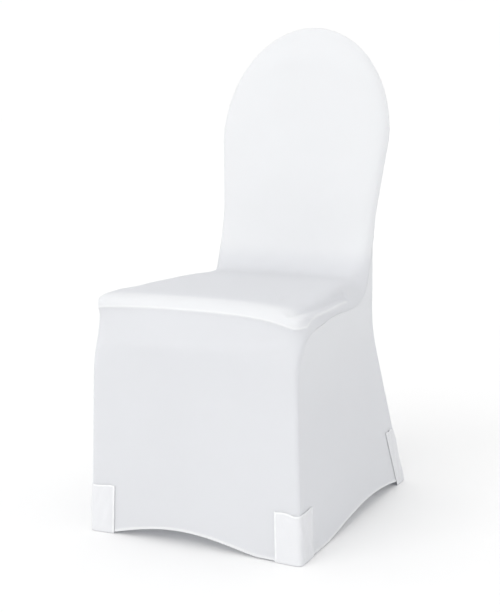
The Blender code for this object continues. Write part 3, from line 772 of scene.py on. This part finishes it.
def stretch_knit(name, single, doubled, light):
    """White polyester and elastane circular knit, heat-set: matt, with a soft sheen at grazing
    angles, whiter where it is doubled and where light is painted on, and with painted shade in
    the hollows between its loops.  light says how much passes through either.

    The loops' height is a (3/4 + 1/4 sin(2 pi (v / course + a / 3))), with a = |sin(pi u / wale)|.
    """
    material, tree = bare_material(name)
    place = node(tree, "ShaderNodeUVMap", uv_map="cloth")
    split = node(tree, "ShaderNodeSeparateXYZ", {0: place.outputs[0]})
    across = node(tree, "ShaderNodeMath", {0: split.outputs["X"], 1: math.pi / WALE}, operation="MULTIPLY")
    wave = node(tree, "ShaderNodeMath", {0: across.outputs[0]}, operation="SINE")
    wale = node(tree, "ShaderNodeMath", {0: wave.outputs[0]}, operation="ABSOLUTE")
    along = node(tree, "ShaderNodeMath", {0: split.outputs["Y"], 1: 2 * math.pi / COURSE},
                 operation="MULTIPLY")
    lean = node(tree, "ShaderNodeMath", {0: wale.outputs[0], 1: 2.1, 2: along.outputs[0]},
                operation="MULTIPLY_ADD")
    course = node(tree, "ShaderNodeMath", {0: lean.outputs[0]}, operation="SINE")
    arch = node(tree, "ShaderNodeMath", {0: course.outputs[0], 1: 0.25, 2: 0.75}, operation="MULTIPLY_ADD")
    loops = node(tree, "ShaderNodeMath", {0: arch.outputs[0], 1: wale.outputs[0]}, operation="MULTIPLY")
    where = node(tree, "ShaderNodeTexCoord")
    slack = node(tree, "ShaderNodeTexNoise", {
        "Vector": where.outputs["Object"], "Scale": 14.0, "Detail": 2.0})
    relief = node(tree, "ShaderNodeBump", {
        "Strength": 0.35, "Distance": 0.00025, "Height": loops.outputs[0]})
    soft = node(tree, "ShaderNodeBump", {
        "Strength": 0.18, "Distance": 0.004, "Height": slack.outputs["Fac"], "Normal": relief.outputs[0]})
    ply_and_painted_light = node(tree, "ShaderNodeAttribute", attribute_name="ply_and_painted_light")
    # The ply value that mixes the single and doubled colours also carries the painted light and shade of each
    # part.
    cloth = node(tree, "ShaderNodeMix", {0: ply_and_painted_light.outputs["Fac"], 6: opaque(single), 7: opaque(doubled)},
                 data_type="RGBA")
    patches = node(tree, "ShaderNodeTexNoise", {
        "Vector": where.outputs["Object"], "Scale": 5.0, "Detail": 3.0})
    shade = node(tree, "ShaderNodeMapRange", {
        "Value": patches.outputs["Fac"], 1: 0.3, 2: 0.7, 3: 0.985, 4: 1.0})
    # Painted shade: the colour is up to 3.5 percent darker in the hollows between the loops.
    loop_hollow_shade = node(tree, "ShaderNodeMapRange", {"Value": loops.outputs[0], 1: 0.0, 2: 1.0, 3: 0.965, 4: 1.0})
    tone = node(tree, "ShaderNodeMath", {0: shade.outputs[0], 1: loop_hollow_shade.outputs[0]}, operation="MULTIPLY")
    colour = node(tree, "ShaderNodeVectorMath", {0: cloth.outputs[2], "Scale": tone.outputs[0]},
                  operation="SCALE")
    shader = node(tree, "ShaderNodeBsdfPrincipled", {
        "Base Color": colour.outputs[0], "Roughness": 0.62, "Specular IOR Level": 0.35,
        "Sheen Weight": 0.22, "Sheen Roughness": 0.45, "Normal": soft.outputs[0]})
    glow = node(tree, "ShaderNodeBsdfTranslucent", {"Color": colour.outputs[0], "Normal": soft.outputs[0]})
    through = node(tree, "ShaderNodeMapRange", {
        "Value": ply_and_painted_light.outputs["Fac"], 1: 0.0, 2: 1.0, 3: light[0], 4: light[1]})
    mixed = node(tree, "ShaderNodeMixShader", {
        0: through.outputs[0], 1: shader.outputs[0], 2: glow.outputs[0]})
    node(tree, "ShaderNodeOutputMaterial", {0: mixed.outputs[0]})
    return material


def spun_thread(name, colour):
    """White spun polyester sewing thread: its twist shows as fine slanted bands."""
    material, tree = bare_material(name)
    where = node(tree, "ShaderNodeTexCoord")
    twist = node(tree, "ShaderNodeTexWave", {
        "Vector": where.outputs["Object"], "Scale": 900.0, "Distortion": 1.0}, bands_direction="DIAGONAL")
    relief = node(tree, "ShaderNodeBump", {
        "Strength": 0.3, "Distance": 0.0001, "Height": twist.outputs["Fac"]})
    shader = node(tree, "ShaderNodeBsdfPrincipled", {
        "Base Color": opaque(colour), "Roughness": 0.5, "Sheen Weight": 0.2, "Normal": relief.outputs[0]})
    node(tree, "ShaderNodeOutputMaterial", {0: shader.outputs[0]})
    return material


@functools.cache
def finish_of(name):
    """The cover's materials, each made once."""
    colours = bpy.context.scene.cover_colours
    if name == "knit":
        return stretch_knit("stretch_knit_single", colours.single, colours.doubled, PANEL_LIGHT)
    if name == "pocket_knit":
        return stretch_knit("stretch_knit_doubled", colours.pocket, colours.doubled, POCKET_LIGHT)
    return spun_thread("spun_polyester_thread", colours.thread)


# Pieces


def keep_off_middle(face, side):
    """Keeps a face of a backrest panel on its own side of the padding's middle."""
    rows = face[..., 2] > JOIN_Z
    depth = side * (face[..., 1] - back_plane_y(face[..., 2]))
    lacking = np.where(rows, np.maximum(0.5 * SEAM_GAP / math.cos(RECLINE) - depth, 0), 0)
    face[..., 1] += side * lacking


@functools.cache
def panel_faces(name):
    """Outer and inner faces, cloth map, and ply and painted light values of a panel, with its seams, hem and
    folds.
    """
    sizes = bpy.context.scene.cover_sizes
    grid = cover_surfaces()[name]
    normals = shared_normals()[name]
    left, right, bottom, top = edge_distances(grid)
    lift = np.zeros(grid.shape[:2])
    for distance, run in ((left, bottom), (right, bottom), (top, left)):
        lift += sewn_edge(distance, run, sizes)
    lift = np.clip(lift, -1.3 * sizes.seam_depth, 1.5 * sizes.seam_depth)
    if name == "front_panel":
        lift += RIDGE_HEIGHT * cushion_ridge()
    band = soft_step((sizes.hem + 0.5 * HEM_STEP - bottom) / HEM_STEP)
    lift += sizes.hem_rise * band
    lift -= STITCH_DENT * np.exp(-((bottom - sizes.hem + HEM_STITCH_INSET) / STITCH_DENT_WIDTH) ** 2)
    lift -= FOLDED_EDGE_DROP * np.exp(-(bottom / FOLDED_EDGE_WIDTH) ** 2)
    for panel, half_width, height, path in FOLDS.values():
        if panel == name:
            lift += fold_height(grid, path, half_width, height)
    outer = grid + seam_setback(grid, normals) + normals * lift[..., None]
    inner = outer - normals * (sizes.cloth + sizes.hem_rise * band)[..., None]
    if not name.startswith("side_panel"):
        for face in (outer, inner):
            keep_off_middle(face, -1 if name == "front_panel" else 1)
    uv = np.stack([left - left[:, [left.shape[1] // 2]], bottom], -1)
    # The ply value is the doubled hem's band or, where that is more, the painted light and shade.
    return outer, inner, uv, np.maximum(band, painted_light_share(name, grid))


def painted_light_share(name, grid):
    """Painted light and shade at each point of a panel, set as how dense the knit lies and blended between
    the parts of the cover.

    A side panel is painted lighter towards its top, and the bevel, which lies between its two rows, gets a
    painted highlight.
    """
    height = grid[..., 2]
    if name.startswith("side_panel"):
        # Painted light: a side panel's colour is whiter towards its top.
        return SKIRT_PAINTED_LIGHT + (SIDE_TOP_PAINTED_LIGHT - SKIRT_PAINTED_LIGHT) * soft_step((height - 0.20) / 0.25)
    low = SKIRT_PAINTED_LIGHT
    rows = FRONT_PLACES[:, None]
    if name == "front_panel":
        # Painted shade: the seat's colour is a little darker than the skirts'.
        low = SKIRT_PAINTED_LIGHT + (SEAT_PAINTED_LIGHT - SKIRT_PAINTED_LIGHT) * soft_step((rows - TURN_ROW) / 2)
    # Painted light: above the seat the backrest's colour is whiter.
    painted_share = low + (BACK_PAINTED_LIGHT - low) * soft_step((height - SEAT_LEVEL) / 0.05)
    if name == "front_panel":
        # Painted highlight on the bevel along the cushion's front edge.
        bevel = soft_step((rows - 6.6) / 0.5) * soft_step((9.4 - rows) / 0.5)
        painted_share += (BEVEL_PAINTED_HIGHLIGHT - painted_share) * bevel * soft_step((0.21 - grid[..., 0]) / 0.02)
        # Painted highlight along the cushion's seam ridge, whitest on its line.
        painted_share += (1 - painted_share) * soft_step(2.2 * cushion_ridge() - 0.7)
    return painted_share


def add_panel(name, piece_name):
    """Adds one dressed panel in place of its solid."""
    outer, inner, uv, ply_and_painted_light = panel_faces(name)
    piece = sheet_object(piece_name, outer, inner, uv, ply_and_painted_light, FLIPPED[name])
    piece.data.materials.append(finish_of("knit"))
    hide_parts(name)
    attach(piece, "root")
    return piece


def run_lengths(line):
    """Length along a line of points, from its start."""
    return np.concatenate([[0], np.cumsum(np.linalg.norm(np.diff(line, axis=0), axis=1))])


def read_along(values, length, places):
    """Points or directions that are given along a line, read at other places on it."""
    return np.stack([np.interp(places, length, column) for column in values.T], 1)


def section_at(columns, z):
    """Points at height z on surface columns, given as an array of columns of points."""
    return np.array([[np.interp(z, column[:, 2], column[:, 0]), np.interp(z, column[:, 2], column[:, 1])]
                     for column in columns])


def corner_section(skirt_columns, side_columns, z, distances):
    """Level section of the cover round a leg corner, at signed distances from the corner.

    Returns points and outward directions in the plane.  The distances run from the front
    or rear skirt (negative) round to the side skirt (positive).
    """
    line = np.vstack([section_at(skirt_columns, z), section_at(side_columns, z)[1:]])
    length = run_lengths(line)
    corner = np.argmax(np.abs(line[:, 0]) + np.abs(line[:, 1]))
    points = read_along(line, length, length[corner] + distances)
    tangent = unit(np.gradient(points, axis=0))
    outward = np.stack([tangent[:, 1], -tangent[:, 0]], 1)
    outward *= np.sign(np.sum(outward * points, axis=1, keepdims=True))
    return points, outward


POCKETS = (
    # pocket, skirt panel, side panel, +1 on the +X side, +1 at the rear, start of its ripples
    ("foot_pocket_front_right", "front_panel", "side_panel_right", 1, -1, 0.4),
    ("foot_pocket_front_left", "front_panel", "side_panel_left", -1, -1, 2.1),
    ("foot_pocket_rear_right", "rear_panel", "side_panel_right", 1, 1, 3.6),
    ("foot_pocket_rear_left", "rear_panel", "side_panel_left", -1, 1, 5.2),
)
POCKET_EDGE = np.array([0.0, 0.012, 0.03, 0.055, 0.09, 0.13, 0.18])
POCKET_STATIONS = np.concatenate([POCKET_EDGE - 1.0, np.linspace(-0.76, 0.76, 59), 1.0 - POCKET_EDGE[::-1]])
SOLE_ROWS = 5
WALL_ROWS = 34
TOP_ROWS = 9                  # of the wall's rows, those close together at its top

# A foot pocket's slack cloth
POCKET_RIPPLES = (
    # height, distance between two, lean with height, share of the pocket's start
    (0.00085, 0.021, 0.35, 1.0),
    (0.00060, 0.034, -0.22, 1.7),
)
POCKET_BULGE = 0.0011
POCKET_BULGE_PLACE = (-0.036, 0.036)    # distance from the corner, and height over the floor
POCKET_BULGE_REACH = (0.010, 0.022)
POCKET_TOP_DIP = 0.0025       # how far its top dips at the corner
POCKET_TOP_DIP_WIDTH = 0.014
POCKET_TOP_WAVE = 0.0008
POCKET_EDGE_CLOSE = 0.0010    # how much closer to the cover its ends and top lie
POCKET_HEM = 0.0060
POCKET_HEM_RISE = 0.0004
POCKET_TURNED = 0.0036        # width over which its edge looks doubled


def pocket_ripple(run, height, start):
    """Ripples of a slack pocket: two slanted sines and a soft bulge at the lower skirt side.

    run is the signed distance from the corner and height the one above the floor.
    """
    waves = sum(size * np.sin((run + height * lean) * 2 * math.pi / pitch + turn * start)
                for size, pitch, lean, turn in POCKET_RIPPLES)
    side_share = 0.35 + 0.65 * soft_step((run + 0.004) / 0.012)
    across, up = ((value - place) / reach for value, place, reach
                  in zip((run, height), POCKET_BULGE_PLACE, POCKET_BULGE_REACH))
    return side_share * waves + POCKET_BULGE * np.exp(-across ** 2 - up ** 2)


def pocket_grids(skirt_columns, side_columns, height, start, sizes):
    """Outer and inner faces, cloth map, and ply and painted light values of a foot pocket, from the sole to
    the top.

    The wall follows the cover's section at each height.  Under it a quarter circle leads
    into a flat sole, which reaches in to a straight line between the pocket's two ends.
    """
    widths = np.where(POCKET_STATIONS < 0, POCKET_FRONT_WIDTH, POCKET_SIDE_WIDTH)
    run = POCKET_STATIONS * widths
    foot, out = corner_section(skirt_columns, side_columns, SOLE_ROUND, run)
    offset = POCKET_GAP + SOLID_CLOTH
    base = foot + out * (offset - SOLE_ROUND)
    reach = base - out * SOLE_REACH
    far = reach[0] + (reach[-1] - reach[0]) * np.linspace(0, 1, len(run))[:, None]
    outer_rows, inner_rows = [], []
    for share in np.linspace(1.0, 0.15, SOLE_ROWS):
        flat = base + (far - base) * share
        outer_rows.append(np.column_stack([flat, np.zeros(len(flat))]))
        inner_rows.append(np.column_stack([flat, np.full(len(flat), sizes.cloth)]))
    for angle in np.radians([90, 70, 50, 30, 15]):
        for rows, radius in ((outer_rows, SOLE_ROUND), (inner_rows, SOLE_ROUND - sizes.cloth)):
            plan = base + out * radius * math.cos(angle)
            rows.append(np.column_stack([plan, np.full(len(plan), SOLE_ROUND - radius * math.sin(angle))]))
    ends = np.minimum(run - run[0], run[-1] - run)
    top_edge = (height - POCKET_TOP_DIP * np.exp(-(run / POCKET_TOP_DIP_WIDTH) ** 2)
                + POCKET_TOP_WAVE * np.sin(run * 190.0 + start))
    shares = np.concatenate([np.linspace(0, 0.86, WALL_ROWS - TOP_ROWS), np.linspace(0.885, 1.0, TOP_ROWS)])
    for share in shares:
        z = SOLE_ROUND + (top_edge - SOLE_ROUND) * share
        level_z = SOLE_ROUND + (height - SOLE_ROUND) * share
        plan, out = corner_section(skirt_columns, side_columns, level_z, run)
        below_top = top_edge - z
        grow = soft_step(level_z / 0.012) * soft_step(ends / 0.006)
        lift = np.maximum(pocket_ripple(run, level_z, start) * grow, -0.0006)
        close = np.maximum(np.exp(-(ends / 0.006) ** 2), np.exp(-(below_top / 0.010) ** 2))
        lift -= POCKET_EDGE_CLOSE * close * soft_step(level_z / 0.014)
        lift += POCKET_HEM_RISE * soft_step((POCKET_HEM - np.minimum(below_top, ends)) / HEM_STEP)
        outer_rows.append(np.column_stack([plan + out * (offset + lift)[:, None], z]))
        inner_rows.append(np.column_stack([plan + out * (offset + lift - sizes.cloth)[:, None], z]))
    outer, inner = np.array(outer_rows), np.array(inner_rows)
    _, _, along, _ = edge_distances(outer)
    uv = np.stack([np.broadcast_to(run, along.shape), along], -1)
    uneven = 0.75 + 0.25 * np.sin(run * 410.0 + start) * np.sin(along * 260.0)
    turned = uneven * soft_step((POCKET_TURNED - np.minimum(ends[None], along[-1] - along)) / 0.0014)
    # Painted shade: a pocket's side part is darker than its front, and its turned edges whiten less there.
    on_side = soft_step((run + 0.001) / 0.004)
    painted_share = POCKET_PAINTED_LIGHT + (POCKET_SIDE_PAINTED_SHADE - POCKET_PAINTED_LIGHT) * on_side
    return outer, inner, uv, painted_share + (1 - 0.6 * on_side) * (1 - painted_share) * turned


def pocket_columns(skirt_name, side_name, x_side, y_side):
    """The columns of the skirt and of the side panel from the middle of each to a leg corner."""
    surfaces = cover_surfaces()
    low = np.searchsorted(LEG_PLACES, 3.0)
    skirt, side = surfaces[skirt_name][:low], surfaces[side_name][:low]
    middle, side_half = skirt.shape[1] // 2, side.shape[1] // 2
    skirt = skirt[:, middle:] if x_side > 0 else skirt[:, middle::-1]
    side = side[:, :side_half] if y_side < 0 else side[:, :side_half:-1]
    return np.swapaxes(skirt, 0, 1), np.swapaxes(side, 0, 1)


@functools.cache
def pocket_faces(name):
    """Faces of one of the four foot pockets."""
    _, skirt_name, side_name, x_side, y_side, start = next(row for row in POCKETS if row[0] == name)
    height = POCKET_HEIGHT_FRONT if y_side < 0 else POCKET_HEIGHT_REAR
    skirt, side = pocket_columns(skirt_name, side_name, x_side, y_side)
    return pocket_grids(skirt, side, height, start, bpy.context.scene.cover_sizes)


# Stitches


def along_edge(outer, distances, depth):
    """The line that runs over a grid at a set distance from its first row, column by column."""
    columns = zip(distances.T, np.swapaxes(outer, 0, 1))
    return np.array([[np.interp(depth, run, values) for values in column.T] for run, column in columns])


def stitches_along(line, outward, sizes):
    """Points and faces of a row of stitches, each an arched thread half sunk in the cloth.

    A stitch's axis is c + t s + n r (1/2 - 2 s s / L / L), with t along the line, n outward,
    s from -L / 2 to L / 2 and r the thread's radius; its section is a pentagon.
    """
    length = run_lengths(line)
    centres = np.arange(0.5 * sizes.stitch_pitch, length[-1], sizes.stitch_pitch)
    middle, ahead, behind = (read_along(line, length, centres + step) for step in (0.0, 0.001, -0.001))
    tangent = unit(ahead - behind)
    normal = read_along(outward, length, centres)
    normal = unit(normal - np.sum(normal * tangent, 1, keepdims=True) * tangent)
    side = np.cross(tangent, normal)
    radius = 0.5 * sizes.thread
    share = np.array([-0.5, -0.3, 0.0, 0.3, 0.5])
    rise = radius * (0.7 - 4.2 * share ** 2)
    girth = radius * np.array([0.4, 1.0, 1.0, 1.0, 0.4])
    angle = 2 * math.pi * np.arange(5) / 5
    axis_points = (middle[:, None] + tangent[:, None] * (share * sizes.stitch)[None, :, None]
                   + normal[:, None] * rise[None, :, None])
    ring = (side[:, None, None] * np.cos(angle)[None, None, :, None]
            + normal[:, None, None] * np.sin(angle)[None, None, :, None])
    points = axis_points[:, :, None] + ring * girth[None, :, None, None]
    count = len(centres)
    number = np.arange(count * 25).reshape(count, 5, 5)
    beside = np.roll(number, -1, axis=2)
    faces = np.stack([number[:, :-1], number[:, 1:], beside[:, 1:], beside[:, :-1]], -1).reshape(-1, 4)
    caps = np.concatenate([number[:, 0][:, [0, 1, 2, 3]], number[:, 0][:, [3, 4, 0, 0]],
                           number[:, -1][:, [3, 2, 1, 0]], number[:, -1][:, [0, 4, 3, 3]]])
    return points.reshape(-1, 3), faces, caps


def add_stitches(name, lines, sizes):
    """One piece that holds the stitches of several lines, in the slot of the cloth under them."""
    points, faces, start = [], [], 0
    for line, outward in lines:
        some, quads, caps = stitches_along(line, outward, sizes)
        points.append(some)
        faces += (quads + start).tolist()
        for cap in (caps + start).tolist():
            faces.append(cap[:3] if cap[2] == cap[3] else cap)
        start += len(some)
    mesh = bpy.data.meshes.new(name)
    mesh.from_pydata(np.concatenate(points).tolist(), [], faces)
    mesh.update()
    mesh.shade_smooth()
    piece = add_object(name, mesh)
    piece.data.materials.append(finish_of("thread"))
    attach(piece, "root")


def hem_stitch_lines(sizes):
    """Lines of the stitches over each panel's hem, one row for each, outside the foot pockets."""
    lines = []
    for name, normals in shared_normals().items():
        outer, _, _, _ = panel_faces(name)
        left, right, bottom, _ = edge_distances(outer)
        clear_of = POCKET_SIDE_WIDTH if name.startswith("side") else POCKET_FRONT_WIDTH
        shown = (left[8] > clear_of) & (right[8] > clear_of)
        depth = sizes.hem - HEM_STITCH_INSET
        lines.append((along_edge(outer, bottom, depth)[shown], along_edge(normals, bottom, depth)[shown]))
    return lines


def pocket_stitch_lines(sizes):
    """Lines of stitches up both ends of each pocket and along its top."""
    lines = []
    for row in POCKETS:
        outer, _, _, _ = pocket_faces(row[0])
        left, right, _, top = edge_distances(outer)
        wall = slice(SOLE_ROWS + 5, None)
        normals = unit(np.cross(np.gradient(outer, axis=1), np.gradient(outer, axis=0)))
        if row[3] * row[4] > 0:
            normals = -normals
        for distances, way in ((left, 1), (right, -1)):
            points, places, outward = (np.swapaxes(grid[wall], 0, 1)[::way]
                                       for grid in (outer, distances, normals))
            lines.append([along_edge(grid, places, POCKET_SIDE_STITCH) for grid in (points, outward)])
        lines.append([along_edge(grid[::-1], top[::-1], POCKET_TOP_STITCH) for grid in (outer, normals)])
    return lines


# Operators


class CHAIRCOVER_OT_front_panel(bpy.types.Operator):
    """Adds the front panel: front skirt, seat and face of the backrest in one length of knit"""

    bl_idname = "chaircover.front_panel"
    bl_label = "Front panel"

    def execute(self, context):
        piece = add_panel("front_panel", "front_cloth")
        return {"FINISHED"}


class CHAIRCOVER_OT_rear_panel(bpy.types.Operator):
    """Adds the rear panel: back of the backrest and rear skirt"""

    bl_idname = "chaircover.rear_panel"
    bl_label = "Rear panel"

    def execute(self, context):
        piece = add_panel("rear_panel", "rear_cloth")
        return {"FINISHED"}


class CHAIRCOVER_OT_side_panels(bpy.types.Operator):
    """Adds the two side panels between the front and rear legs"""

    bl_idname = "chaircover.side_panels"
    bl_label = "Side panels"

    def execute(self, context):
        for side in ("left", "right"):
            piece = add_panel(f"side_panel_{side}", f"side_cloth_{side}")
        return {"FINISHED"}


class CHAIRCOVER_OT_foot_pockets(bpy.types.Operator):
    """Adds the four doubled pockets that close under the chair's legs"""

    bl_idname = "chaircover.foot_pockets"
    bl_label = "Foot pockets"

    def execute(self, context):
        for name, _, _, x_side, y_side, _ in POCKETS:
            outer, inner, uv, ply_and_painted_light = pocket_faces(name)
            piece_name = name.replace("foot_pocket", "foot_cloth")
            piece = sheet_object(piece_name, outer, inner, uv, ply_and_painted_light, x_side * y_side > 0)
            piece.data.materials.append(finish_of("pocket_knit"))
            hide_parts(name)
            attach(piece, "root")
        return {"FINISHED"}


class CHAIRCOVER_OT_stitches(bpy.types.Operator):
    """Adds the visible stitches over the hems and round the foot pockets"""

    bl_idname = "chaircover.stitches"
    bl_label = "Stitches"

    def execute(self, context):
        sizes = context.scene.cover_sizes
        add_stitches("hem_stitches", hem_stitch_lines(sizes), sizes)
        add_stitches("pocket_stitches", pocket_stitch_lines(sizes), sizes)
        return {"FINISHED"}


CAMERA_PLACE = (1.01658, -2.10450, 0.77735)
CAMERA_PITCH = 9.3243
CAMERA_YAW = 26.2524


class CHAIRCOVER_OT_stage(bpy.types.Operator):
    """Adds the pale floor, the soft light and the camera"""

    bl_idname = "chaircover.stage"
    bl_label = "Stage"

    def execute(self, context):
        scene = context.scene
        stage = scene.cover_stage
        mesh = bpy.data.meshes.new("floor")
        fill_mesh(mesh, np.array([[-40, -40, 0], [40, -40, 0], [40, 40, 0], [-40, 40, 0]], float),
                  np.array([[0, 1, 2, 3]]))
        floor = add_object("floor", mesh)
        paint = bpy.data.materials.new("pale_matt_floor")
        paint.use_nodes = True
        shader = paint.node_tree.nodes["Principled BSDF"]
        shader.inputs["Base Color"].default_value = opaque(stage.floor)
        shader.inputs["Roughness"].default_value = 0.9
        shader.inputs["Specular IOR Level"].default_value = 0.1
        mesh.materials.append(paint)

        world = bpy.data.worlds.new("studio")
        world.use_nodes = True
        surround = world.node_tree.nodes["Background"]
        surround.inputs["Color"].default_value = (1.0, 1.0, 1.0, 1.0)
        surround.inputs["Strength"].default_value = stage.sky
        scene.world = world

        lamp = bpy.data.lights.new("key", "SUN")
        lamp.angle = math.radians(stage.key_spread)
        lamp.energy = stage.key
        lamp.color = (1.0, 0.995, 0.985)
        key = add_object("key", lamp)
        turn, rise = math.radians(stage.key_turn), math.radians(stage.key_rise)
        way = Vector((math.sin(turn) * math.cos(rise), math.cos(turn) * math.cos(rise), -math.sin(rise)))
        key.rotation_euler = way.to_track_quat("-Z", "Y").to_euler()

        lens = bpy.data.cameras.new("camera")
        lens.lens = stage.focal_length
        lens.sensor_width = 36.0
        camera = add_object("camera", lens)
        camera.location = CAMERA_PLACE
        camera.rotation_euler = (math.radians(90 - CAMERA_PITCH), 0.0, math.radians(CAMERA_YAW))
        scene.camera = camera
        scene.view_settings.view_transform = "Standard"
        return {"FINISHED"}


STEPS = (
    CHAIRCOVER_OT_stage,
    CHAIRCOVER_OT_front_panel,
    CHAIRCOVER_OT_rear_panel,
    CHAIRCOVER_OT_side_panels,
    CHAIRCOVER_OT_foot_pockets,
    CHAIRCOVER_OT_stitches,
)


class CHAIRCOVER_PT_panel(bpy.types.Panel):
    """Lists the cover's sizes, colours and pieces"""

    bl_idname = "CHAIRCOVER_PT_panel"
    bl_label = "Chair cover"
    bl_space_type = "VIEW_3D"
    bl_region_type = "UI"
    bl_category = "Chair cover"

    def draw(self, context):
        scene = context.scene
        for group in (scene.cover_sizes, scene.cover_colours, scene.cover_stage):
            box = self.layout.box()
            for key in group.__annotations__:
                box.prop(group, key)
        for step in STEPS:
            self.layout.operator(step.bl_idname)


GROUPS = (("cover_sizes", CoverSizes), ("cover_colours", CoverColours), ("cover_stage", StageSettings))


def register():
    """Registers the classes and hangs the settings on the scene."""
    for name, group in GROUPS:
        bpy.utils.register_class(group)
        setattr(bpy.types.Scene, name, PointerProperty(type=group))
    for step in (*STEPS, CHAIRCOVER_PT_panel):
        bpy.utils.register_class(step)


def unregister():
    """Undoes register."""
    for step in (CHAIRCOVER_PT_panel, *reversed(STEPS)):
        bpy.utils.unregister_class(step)
    for name, group in reversed(GROUPS):
        delattr(bpy.types.Scene, name)
        bpy.utils.unregister_class(group)


def main():
    """Builds every piece in order."""
    register()
    for step in STEPS:
        group, name = step.bl_idname.split(".")
        if getattr(getattr(bpy.ops, group), name)() != {"FINISHED"}:
            raise RuntimeError(f"{step.bl_label} wasn't finished")


if __name__ == "__main__":
    main()
